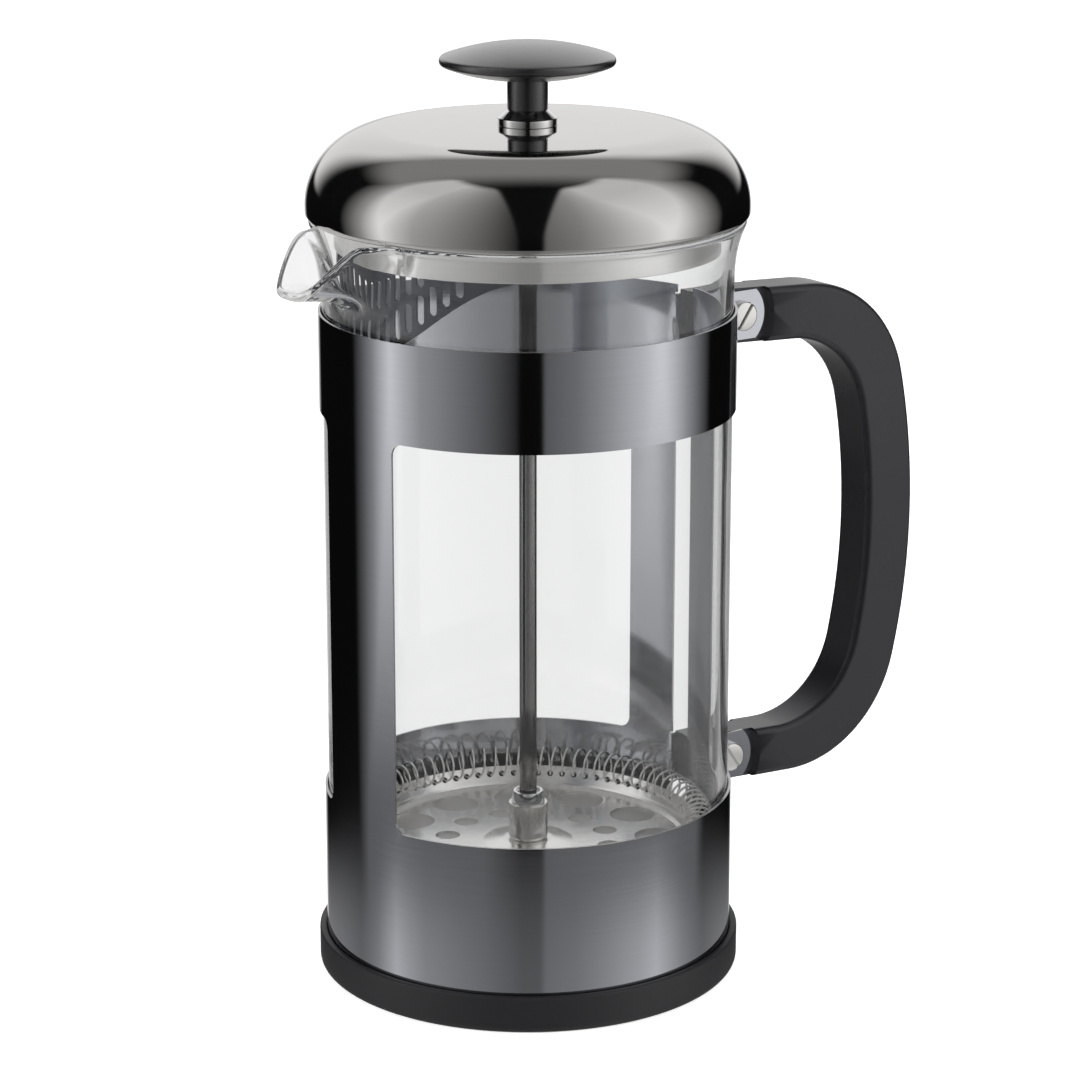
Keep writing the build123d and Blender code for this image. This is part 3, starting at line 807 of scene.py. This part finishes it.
def behind_spout(u, z, w):
    """Where a point of the strainer's blank lies, w into its thickness."""
    angle = u / strainer_outer
    radius = strainer_inner + w
    return Vector((-radius * cos(angle), -radius * sin(angle), z))


edge_turns = [strainer_half * tongue_share * k / edge_steps for k in range(-edge_steps, edge_steps + 1)]
outline = [(strainer_outer * a, strainer_edge(a)) for a in edge_turns]
outline += [(strainer_outer * a, strainer_high.z) for a in (edge_turns[-1], edge_turns[0])]
tongue = formed_sheet(
    "strainer_tongue", cut_blank(outline, [], (0.0012, 0.0024)), strainer_sheet, behind_spout
)


def cut_with_tools(tree, given, result, tools):
    """Close a tree that takes the shape of its tools out of the geometry it is given."""
    cut = add_node(tree, "GeometryNodeMeshBoolean", {"operation": "DIFFERENCE", "solver": "EXACT"})
    tree.links.new(given["Geometry"], cut.inputs[0])
    tree.links.new(tools, cut.inputs[1])
    end_tree(tree, given, result, cut.outputs[0])


punch_slots, given, result = node_tree(
    "punch slots", {"Places": "Object", "Punch": "Object", "Material": "Material"}
)
places = add_node(punch_slots, "GeometryNodeObjectInfo", Object=given["Places"])
punches = set_copies(punch_slots, places.outputs["Geometry"], given["Punch"])
tools = add_node(punch_slots, "GeometryNodeRealizeInstances", Geometry=punches)
cut_with_tools(punch_slots, given, result, tools.outputs[0])

slot_half = slot_width / 2
slot_end = slot_length / 2 - slot_half
slot_outline = arc_points((0, slot_end), slot_half, 0, 180, 8)
slot_outline += arc_points((0, -slot_end), slot_half, 180, 360, 8)
punch_reach = 0.002
work = bmesh.new()
ends = [[work.verts.new((x, y, z)) for y, z in slot_outline] for x in (-punch_reach, punch_reach)]
for k in range(len(slot_outline)):
    work.faces.new((ends[0][k - 1], ends[0][k], ends[1][k], ends[1][k - 1]))
for end in ends:
    work.faces.new(end)
slot_punch = close_piece("slot_punch", work)
slot_spots = []
for column in range(slot_columns):
    angle = (column - (slot_columns - 1) / 2) * slot_pitch
    low = strainer_edge(angle) + slot_margin
    while low + slot_width < ring_low.z:
        middle = behind_spout(strainer_outer * angle, low + slot_length / 2, strainer_sheet / 2)
        slot_spots.append((middle, (0, 0, angle)))
        low += slot_length + slot_bridge
slot_places = set_places("slot_places", slot_spots)
# The strainer's colour is nearly black: painted shade for the shadow it hangs in under the lid, darker than
# satin steel is.
strainer_steel_painted_shade = brushed_metal("strainer steel with painted shade", (0.07, 0.075, 0.09), 0.3, 0.05, 0.01, 3600.0)
run_trees(tongue, [(punch_slots, {"Places": slot_places, "Punch": slot_punch, "Material": strainer_steel_painted_shade})])
bpy.data.objects.remove(slot_places)
bpy.data.objects.remove(slot_punch)
smooth_faces(tongue, 40)
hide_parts("pour_strainer")
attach(tongue, "lid")


# Rod guide: a turned, chromed bush with a cone on top, which carries the plunger rod.
# Its spigot goes through the lid and a nut clamps it from below.
guide_low, guide_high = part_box("rod_guide")
guide_radius = guide_high.x
guide_bore = 0.00215
guide_rim = 0.0017
stem_radius = 0.00475
guide = turned("rod_guide_bush", rounded([
    (guide_bore, guide_low.z, 0),
    (spigot, guide_low.z, 0.0003),
    (spigot, lid_high.z, 0),
    (guide_radius, lid_high.z, 0.0002),
    (guide_radius, lid_high.z + guide_rim, 0.0004),
    (stem_radius, guide_high.z, 0.0003),
    (guide_bore, guide_high.z, 0),
]), 128)
chrome = brushed_metal("bright chrome", (0.86, 0.86, 0.86), 0.08, 0.02, 0.3, 700.0)
paint(guide, chrome)
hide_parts("rod_guide")
nut_low, nut_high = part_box("guide_nut")
nut_top = nut_high.z - thread_play
guide_nut = threaded_on("guide_nut_hexagon", spigot, nut_high.x, nut_low.z, nut_top, 0.0004, 0.0003, 2, 6)
paint(guide_nut, plated_steel)
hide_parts("guide_nut")
for piece in (guide, guide_nut):
    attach(piece, "guide")


# Knob: a pebble-shaped disc on a short stem, moulded in black plastic with a fine grain.
# A brass insert in its stem takes the thread of the rod.
knob_low, knob_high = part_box("knob")
knob_radius = knob_high.x
stem_length = 0.0074
belly_height = 0.0032
knob_rim = 0.0016
stem_bottom = knob_low.z
stem_top = stem_bottom + stem_length
knob_rim_low = stem_top + belly_height
knob_rim_high = knob_rim_low + knob_rim
knob_edge = 0.001
belly_start = 0.08
short_of_rim = 0.94
insert_radius = 0.0033
insert_length = 0.0086
crown_height = knob_high.z - knob_rim_high
crown_curve = (knob_radius**2 + crown_height**2) / (2 * crown_height)
crown_swing = degrees(asin(knob_radius / crown_curve))
belly_reach = knob_radius - stem_radius
belly_curve = (belly_reach**2 + belly_height**2) / (2 * belly_height)
belly_swing = degrees(asin(belly_reach / belly_curve))
belly = arc_points(
    (stem_radius, stem_top + belly_curve), belly_curve,
    -90 + belly_swing * belly_start, -90 + belly_swing * short_of_rim, 18,
)
crown = arc_points((0, knob_high.z - crown_curve), crown_curve, 90 - crown_swing * short_of_rim, 90, 24)[:-1]
knob = turned("knob_disc", rounded(
    [(insert_radius, stem_bottom, 0.0), (stem_radius, stem_bottom, 0.0003), (stem_radius, stem_top, 0.0006)]
    + [(x, z, 0.0) for x, z in belly]
    + [(knob_radius, knob_rim_low, knob_edge), (knob_radius, knob_rim_high, knob_edge)]
    + [(x, z, 0.0) for x, z in crown]
    + [(0, knob_high.z, 0.0), (0, stem_bottom + insert_length, 0.0)]
    + [(insert_radius, stem_bottom + insert_length, 0.0)]
), 160)
paint(knob, moulded_plastic(
    "knob plastic", (0.006, 0.006, 0.007, 1), (0.009, 0.009, 0.010, 1), 0.26, 1700.0, 0.00003, 1.0, 0.8
))
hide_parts("knob")
insert_low, insert_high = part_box("knob_insert")
rod_radius = 0.0021
rod_grip = 0.0076
rod_end = insert_low.z + rod_grip
insert = turned("knob_insert_bush", rounded([
    (rod_radius + thread_play, insert_low.z, 0),
    (insert_high.x, insert_low.z, 0.0002),
    (insert_high.x, insert_high.z, 0.0003),
    (0, insert_high.z, 0),
    (0, rod_end, 0),
    (rod_radius + thread_play, rod_end, 0),
]), 64)
paint(insert, brushed_metal("turned brass", (0.72, 0.56, 0.28), 0.28, 0.06, 0.1, 1500.0))
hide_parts("knob_insert")


# Plunger rod: a drawn and polished steel rod, threaded at both ends.
# It slides in the guide and carries the filter at its lower end.
rod_low, rod_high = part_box("plunger_rod")
rod = turned("plunger_rod_bar", rounded([
    (0, rod_low.z, 0),
    (rod_radius, rod_low.z, 0.0004),
    (rod_radius, rod_high.z, 0.0004),
    (0, rod_high.z, 0),
]), 64)
paint(rod, brushed_metal("polished rod steel", (0.28, 0.276, 0.272), 0.1, 0.05, 0.05, 1400.0))
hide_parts("plunger_rod")


# Filter hub and collar: a turned steel hub screwed on the rod, and a chromed cone with a cup above it.
# The hub presses the filter's plates together against the nut below.
hub_low, hub_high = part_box("filter_hub")
hub = threaded_on("filter_hub_bush", rod_radius, hub_high.x, hub_low.z, hub_high.z, 0.001, 0.0003, 8, 96)
turned_steel = brushed_metal("turned hub steel", (0.82, 0.81, 0.79), 0.18, 0.06, 0.02, 2600.0)
paint(hub, turned_steel)
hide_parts("filter_hub")
collar_low, collar_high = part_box("rod_collar")
collar_top = 0.0036
cup_wall = 0.0007
cup_depth = 0.0009
collar = turned("rod_collar_cone", rounded([
    (rod_radius + thread_play, collar_low.z, 0),
    (collar_high.x, collar_low.z, 0.0002),
    (collar_top, collar_high.z, 0.0002),
    (collar_top - cup_wall, collar_high.z, 0.0002),
    (collar_top - cup_wall, collar_high.z - cup_depth, 0.0001),
    (rod_radius + thread_play, collar_high.z - cup_depth, 0),
]), 96)
paint(collar, chrome)
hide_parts("rod_collar")


# Spring plate: a disc of bright steel sheet, pressed with a boss, a bead and a sloping rim.
# Two rings of large and small holes let the coffee through; a row of fine holes takes the spring.
plate_sheet = 0.0006
plate_level = 0.030
boss_radius = 0.006
boss_rise = 0.0008
boss_skirt = 0.005
bead_radius = 0.0394
bead_width = 0.0018
bead_rise = 0.0008
rim_foot = 0.0410
plate_rim = 0.0426
rim_rise = 0.0046
large_ring, large_hole = 0.032, 0.0057
small_ring, small_hole = 0.0202, 0.003
rim_hole = 0.00075
hole_count = 12
coil_turns = 84
punch_depth = 0.0026
upper_face = rounded([
    (rod_radius + thread_play, plate_level + boss_rise, 0),
    (boss_radius, plate_level + boss_rise, 0.004),
    (boss_radius + boss_skirt, plate_level, 0.004),
    (bead_radius - bead_width / 2 - 0.0004, plate_level, 0.0006),
    (bead_radius - 0.0002, plate_level + bead_rise, 0.0006),
    (bead_radius + 0.0002, plate_level + bead_rise, 0.0006),
    (bead_radius + bead_width / 2, plate_level, 0.0004),
    (rim_foot, plate_level, 0.0008),
    (plate_rim, plate_level + rim_rise, 0),
    (0, plate_level + rim_rise, 0),
], 6)[:-1]
lower_face = []
for k, point in enumerate(upper_face):
    run = upper_face[min(k + 1, len(upper_face) - 1)] - upper_face[max(k - 1, 0)]
    lower_face.append(point + Vector((run.y, -run.x)).normalized() * plate_sheet)
plate = turned("spring_plate_disc", upper_face + lower_face[::-1], 252)

punch_ring, given, result = node_tree("punch a ring of holes", {
    "Count": "Int", "Ring Radius": "Float", "Hole Radius": "Float", "Level": "Float",
    "Turn": "Float", "Lean": "Float", "Material": "Material",
})
ring_line = add_node(
    punch_ring, "GeometryNodeMeshCircle", Vertices=given["Count"], Radius=given["Ring Radius"]
)
number = add_node(punch_ring, "GeometryNodeInputIndex").outputs[0]
step = sums(punch_ring, "DIVIDE", 2 * pi, given["Count"])
around = sums(punch_ring, "MULTIPLY", number, step)
heading = add_node(punch_ring, "ShaderNodeCombineXYZ", Y=given["Lean"], Z=around)
tool = add_node(
    punch_ring, "GeometryNodeMeshCylinder", Vertices=20, Radius=given["Hole Radius"], Depth=punch_depth
)
tools = add_node(
    punch_ring, "GeometryNodeInstanceOnPoints", Points=ring_line.outputs[0],
    Instance=tool.outputs[0], Rotation=heading.outputs[0],
)
tools = add_node(punch_ring, "GeometryNodeRealizeInstances", Geometry=tools.outputs[0])
lift = add_node(punch_ring, "ShaderNodeCombineXYZ", Z=given["Level"])
swing = add_node(punch_ring, "ShaderNodeCombineXYZ", Z=given["Turn"])
tools = add_node(
    punch_ring, "GeometryNodeTransform", Geometry=tools.outputs[0],
    Translation=lift.outputs[0], Rotation=swing.outputs[0],
)
cut_with_tools(punch_ring, given, result, tools.outputs[0])

rim_lean = atan2(plate_rim - rim_foot, rim_rise)
rim_hole_share = 0.6
rim_hole_ring = rim_foot + (plate_rim - rim_foot) * rim_hole_share + plate_sheet / 2 * cos(rim_lean)
rim_hole_level = plate_level + rim_rise * rim_hole_share - plate_sheet / 2 * sin(rim_lean)
plate_steel = brushed_metal("pressed plate steel", (0.96, 0.95, 0.93), 0.22, 0.04, 0.2, 500.0)
run_trees(plate, [
    (punch_ring, {
        "Count": count, "Ring Radius": ring_radius, "Hole Radius": hole_radius,
        "Level": level, "Turn": turn, "Lean": lean, "Material": plate_steel,
    })
    for count, ring_radius, hole_radius, level, turn, lean in (
        (hole_count, large_ring, large_hole, plate_level, 0.0, 0.0),
        (hole_count, small_ring, small_hole, plate_level, pi / hole_count, 0.0),
        (coil_turns, rim_hole_ring, rim_hole, rim_hole_level, 0.0, pi / 2 + rim_lean),
    )
])
smooth_faces(plate, 28)
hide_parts("spring_plate")


# Coil spring: steel wire wound into a long coil, closed to a ring and threaded through the plate's rim.
# It presses the filter's edge against the glass.
coil_low, coil_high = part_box("coil_spring")
wire = 0.0003
coil_radius = (coil_high.z - coil_low.z) / 2 - wire
coil_level = (coil_high.z + coil_low.z) / 2
steps_per_turn = 24
wind_coil, given, result = node_tree("wind the coil", {
    "Turns": "Int", "Ring Radius": "Float", "Coil Radius": "Float", "Wire": "Float",
    "Level": "Float", "Material": "Material",
})
count = sums(wind_coil, "MULTIPLY", given["Turns"], steps_per_turn)
path = add_node(wind_coil, "GeometryNodeCurvePrimitiveLine")
path = add_node(wind_coil, "GeometryNodeResampleCurve", Curve=path.outputs[0], Count=count)
number = add_node(wind_coil, "GeometryNodeInputIndex").outputs[0]
around = sums(wind_coil, "DIVIDE", sums(wind_coil, "MULTIPLY", number, 2 * pi), count)
winding = sums(wind_coil, "MULTIPLY", around, given["Turns"])
bulge = sums(wind_coil, "MULTIPLY", sums(wind_coil, "SINE", winding), given["Coil Radius"])
reach = sums(wind_coil, "ADD", given["Ring Radius"], bulge)
drop = sums(wind_coil, "MULTIPLY", sums(wind_coil, "COSINE", winding), given["Coil Radius"])
spot = add_node(
    wind_coil, "ShaderNodeCombineXYZ",
    X=sums(wind_coil, "MULTIPLY", reach, sums(wind_coil, "COSINE", around)),
    Y=sums(wind_coil, "MULTIPLY", reach, sums(wind_coil, "SINE", around)),
    Z=sums(wind_coil, "SUBTRACT", given["Level"], drop),
)
path = add_node(wind_coil, "GeometryNodeSetPosition", Geometry=path.outputs[0], Position=spot.outputs[0])
path = add_node(wind_coil, "GeometryNodeSetSplineCyclic", Geometry=path.outputs[0], Cyclic=True)
section = add_node(wind_coil, "GeometryNodeCurvePrimitiveCircle", Resolution=8, Radius=given["Wire"])
tube = add_node(wind_coil, "GeometryNodeCurveToMesh", Curve=path.outputs[0])
wind_coil.links.new(section.outputs[0], tube.inputs["Profile Curve"])
end_tree(wind_coil, given, result, tube.outputs[0])
spring_wire = brushed_metal("drawn spring wire", (0.86, 0.85, 0.83), 0.18, 0.04, 0.3, 900.0)
coil = run_trees(add_piece("coil_spring_wire"), [
    (wind_coil, {
        "Turns": coil_turns, "Ring Radius": rim_hole_ring, "Coil Radius": coil_radius, "Wire": wire,
        "Level": coil_level, "Material": spring_wire,
    }),
])
coil.data.shade_smooth()
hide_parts("coil_spring")


# Mesh, cross plate and nut: a disc of fine woven wire cloth on a pressed steel cross.
# A hexagon nut on the rod's thread holds the stack together.
mesh_low, mesh_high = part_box("filter_mesh")
cloth = threaded_on(
    "filter_mesh_disc", rod_radius, mesh_high.x, mesh_low.z, mesh_high.z, 0.0001, 0.0001, 3, 192
)
wire_cloth_painted_gaps, tree, shader, place = plain_material("woven wire cloth with painted gap shade")
wire_pitch = 0.0005
weave = []
for direction in ("X", "Y"):
    threads = add_node(
        tree, "ShaderNodeTexWave", {"bands_direction": direction}, Vector=place, Scale=pi / 10 / wire_pitch
    )
    weave.append(threads.outputs["Fac"])
thread_or_gap_shade = sums(tree, "MAXIMUM", *weave)
# The cloth is a plain disc: the gaps between the threads are painted dark, as painted shade in place of open
# holes.
set_inputs(tree, shader, {
    "Base Color": blend(tree, thread_or_gap_shade, (0.22, 0.22, 0.22, 1), (0.74, 0.73, 0.72, 1)),
    "Metallic": 0.85,
    "Roughness": spread(tree, thread_or_gap_shade, 0.5, 0.35),
    "Normal": raised(tree, thread_or_gap_shade, 0.0001, 0.8),
})
paint(cloth, wire_cloth_painted_gaps)
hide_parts("filter_mesh")

cross_low, cross_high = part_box("cross_plate")
cross_radius = cross_high.x
cross_rim = 0.005
spoke_half = 0.0045
cross_hub = 0.009
cross_sheet = cross_high.z - cross_low.z
outer_line = arc_points((0, 0), cross_radius, 0, 357, 119)
inner_radius = cross_radius - cross_rim
rim_swing = degrees(asin(spoke_half / inner_radius))
hub_swing = degrees(asin(spoke_half / cross_hub))
gaps = [arc_points((0, 0), rod_radius + thread_play, 0, 350, 35)]
for quarter in range(4):
    start = 90 * quarter
    gap = arc_points((0, 0), inner_radius, start + rim_swing, start + 90 - rim_swing, 30)
    gap += arc_points((0, 0), cross_hub, start + 90 - hub_swing, start + hub_swing, 12)
    gaps.append(gap)
cross = formed_sheet(
    "cross_plate_sheet", cut_blank(outer_line, gaps, (0.003, 0.003)), cross_sheet,
    lambda x, y, w: Vector((x, y, cross_low.z + w)),
)
paint(cross, plate_steel, plate_steel)
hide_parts("cross_plate")
end_low, end_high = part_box("filter_nut")
end_nut = threaded_on(
    "filter_nut_hexagon", rod_radius, end_high.x, end_low.z, end_high.z, 0.0006, 0.0003, 3, 6
)
paint(end_nut, turned_steel)
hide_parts("filter_nut")
for piece in (knob, insert, rod, hub, collar, plate, coil, cloth, cross, end_nut):
    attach(piece, "plunger")


# Studio: a pale floor that keeps a soft shadow, a white backdrop and two tall softboxes in front.
# The softboxes are painted in the world, where only reflections see them; the lamps light the rest.
view_turn = radians(-33.4)
to_right = Vector((cos(view_turn), sin(view_turn), 0))
to_back = Vector((-sin(view_turn), cos(view_turn), 0))
work = bmesh.new()
bmesh.ops.create_circle(work, cap_ends=True, segments=96, radius=3.0)
floor = add_piece("floor", work)
floor.visible_glossy = False
floor.visible_transmission = False
floor_paint, tree, shader, place = plain_material("pale floor")
set_inputs(tree, shader, {"Base Color": (0.8, 0.8, 0.8, 1), "Roughness": 0.9, "Specular IOR Level": 0.0})
path = tree.nodes.new("ShaderNodeLightPath")
seen_glow = sums(tree, "MULTIPLY", path.outputs["Is Camera Ray"], 0.55)
glow = add_node(tree, "ShaderNodeEmission", Color=(1, 1, 1, 1), Strength=seen_glow)
both = add_node(tree, "ShaderNodeAddShader", i0=shader.outputs[0], i1=glow.outputs[0])
tree.links.new(both.outputs[0], tree.nodes["Material Output"].inputs["Surface"])
paint(floor, floor_paint)

world = bpy.data.worlds.new("studio")
bpy.context.scene.world = world
world.use_nodes = True
tree = world.node_tree
ray = tree.nodes.new("ShaderNodeTexCoord").outputs["Generated"]
ahead, aside = (
    add_node(tree, "ShaderNodeVectorMath", {"operation": "DOT_PRODUCT"}, i0=ray, i1=way).outputs["Value"]
    for way in (-to_back, to_right)
)
height = add_node(tree, "ShaderNodeSeparateXYZ", Vector=ray).outputs["Z"]


def times(first, *others):
    """The product of several values."""
    for other in others:
        first = sums(tree, "MULTIPLY", first, other)
    return first


def ramp(value, low, high):
    """A smooth step from 0 at low to 1 at high."""
    smooth = {"interpolation_type": "SMOOTHSTEP"}
    return add_node(tree, "ShaderNodeMapRange", smooth, i0=value, i1=low, i2=high, i3=0.0, i4=1.0).outputs[0]


def fade(light, value, low, high):
    """A smooth step from a light at low to 0 at high."""
    return sums(tree, "MULTIPLY_ADD", ramp(value, low, high), -light, light)


# Bearing, rise and overhead are a ray's angles in degrees: sideways from the camera, up from the level,
# and from the backdrop up over the top to the front.
bearing, rise, overhead = (
    times(angle, 180 / pi) for angle in (
        sums(tree, "ARCTAN2", aside, ahead),
        sums(tree, "ARCSINE", height),
        sums(tree, "ARCTAN2", height, times(ahead, -1.0)),
    )
)
off_centre = sums(tree, "ABSOLUTE", bearing)

# The softboxes' light by bearing is cut by their inner edges, their feet and their tops.
boxes = add_node(tree, "ShaderNodeValToRGB", Fac=sums(tree, "MULTIPLY_ADD", bearing, 1 / 360, 0.5))
left_box = (
    (-112, 0.0), (-104, 0.14), (-96, 0.34), (-82, 1.0), (-72, 0.68), (-62, 0.44), (-40, 0.26), (-22, 0.13),
    (-9, 0.035), (-5, 0.0),
)
right_box = (
    (5, 0.0), (8, 0.16), (25, 0.25), (36, 0.37), (44, 0.48), (64, 0.8), (76, 1.1), (86, 0.76), (96, 0.42),
    (106, 0.18), (116, 0.0),
)
stops = left_box + right_box
band = boxes.color_ramp
while len(band.elements) < len(stops):
    band.elements.new(0.5)
for element, (angle, light) in zip(band.elements, stops):
    element.position = angle / 360 + 0.5
    element.color = (light, light, light, 1)
inner_edge = sums(tree, "MULTIPLY_ADD", sums(tree, "MAXIMUM", height, 0.0), 0.10, 0.08)
past_edge = sums(tree, "SUBTRACT", sums(tree, "ABSOLUTE", aside), inner_edge)
taller, lowest, foot = (
    add_node(tree, "ShaderNodeMapRange", i0=rise, i1=low, i2=high, i3=start, i4=end).outputs[0]
    for low, high, start, end in (
        (-11.0, 60.0, 1.0, 1.35),
        (0.0, 50.0, 1.05, 0.66),
        (-19.5, -13.0, 0.16, 1.05),
    )
)
box_light = times(boxes.outputs["Color"], ramp(past_edge, 0.0, 0.05), taller)
for limit in (lowest, foot):
    box_light = sums(tree, "MINIMUM", box_light, limit)
box_light = times(box_light, fade(1.0, rise, 66.0, 74.0))

# Round them a mirror also sees a dim ceiling, the backdrop with its sweep, and the floor below.
ceiling = times(ramp(rise, 32.0, 50.0), fade(0.26, overhead, 76.0, 107.0))
backdrop = times(ramp(off_centre, 135.0, 160.0), ramp(rise, 0.0, 4.0), fade(0.86, rise, 34.0, 58.0))
sweep = times(ramp(off_centre, 160.0, 172.0), ramp(rise, -34.0, -26.0), fade(0.8, rise, 0.0, 4.0))
below = sums(tree, "MULTIPLY_ADD", ramp(off_centre, 90.0, 140.0), 0.12, 0.16)
below = sums(tree, "MULTIPLY_ADD", boxes.outputs["Color"], 0.56, below)
below = times(below, ramp(times(rise, -1.0), 19.8, 22.0))
mirror = box_light
for light in (ceiling, backdrop, sweep, below):
    mirror = sums(tree, "MAXIMUM", mirror, light)
mirror = sums(tree, "ADD", mirror, 0.004)

# Mirrors behind glass are hazed towards white; everything else sees a plain white room.
path = tree.nodes.new("ShaderNodeLightPath")
within_glass = sums(tree, "GREATER_THAN", path.outputs["Transmission Depth"], 0.5)
past_glass = sums(tree, "GREATER_THAN", path.outputs["Transmission Depth"], 2.5)
haze_within = 0.6
haze_past = 0.25
haze = sums(tree, "MULTIPLY_ADD", past_glass, haze_past - haze_within, times(within_glass, haze_within))
mirror = add_node(tree, "ShaderNodeMix", {"data_type": "FLOAT"}, i0=haze, i2=mirror, i3=0.9).outputs[0]
plain = sums(tree, "SUBTRACT", 1.0, times(path.outputs["Is Diffuse Ray"], 0.55))
reflected = sums(tree, "GREATER_THAN", path.outputs["Glossy Depth"], 0.5)
shown = add_node(tree, "ShaderNodeMix", {"data_type": "FLOAT"}, i0=reflected, i2=plain, i3=mirror)
set_inputs(tree, tree.nodes["Background"], {"Color": (1, 1, 1, 1), "Strength": shown.outputs[0]})

for name, bearing_deg, level, distance, size, power in (
    ("left softbox", -55, 0.75, 1.3, 0.9, 16),
    ("right softbox", 60, 0.75, 1.3, 0.9, 16),
    ("top light", 180, 1.5, 0.4, 1.0, 14),
):
    lamp = bpy.data.lights.new(name, "AREA")
    lamp.shape = "DISK"
    lamp.size = size
    lamp.energy = power
    stand = bpy.data.objects.new(name, lamp)
    swing = radians(bearing_deg)
    stand.location = (to_right * sin(swing) - to_back * cos(swing)) * distance + Vector((0, 0, level))
    aim = Vector((0, 0, 0.1)) - stand.location
    stand.rotation_euler = aim.to_track_quat("-Z", "Y").to_euler()
    stand.visible_glossy = False
    stand.visible_camera = False
    stand.visible_transmission = False
    bpy.context.scene.collection.objects.link(stand)

lens = bpy.data.cameras.new("camera")
lens.sensor_width = 36
lens.lens = 122.63
camera = bpy.data.objects.new("camera", lens)
camera_aside = -0.025
camera_back = -0.85
camera_height = 0.34295
camera_pan = radians(1.879)
camera_tilt = radians(15.565)
camera.location = to_right * camera_aside + to_back * camera_back + Vector((0, 0, camera_height))
sight = (to_right * sin(camera_pan) + to_back * cos(camera_pan)) * cos(camera_tilt)
sight -= Vector((0, 0, sin(camera_tilt)))
camera.rotation_euler = sight.to_track_quat("-Z", "Y").to_euler()
bpy.context.scene.collection.objects.link(camera)
bpy.context.scene.camera = camera
bpy.context.scene.view_settings.view_transform = "Standard"
bpy.context.scene.cycles.max_bounces = 24
bpy.context.scene.cycles.glossy_bounces = 12
bpy.context.scene.cycles.transmission_bounces = 24
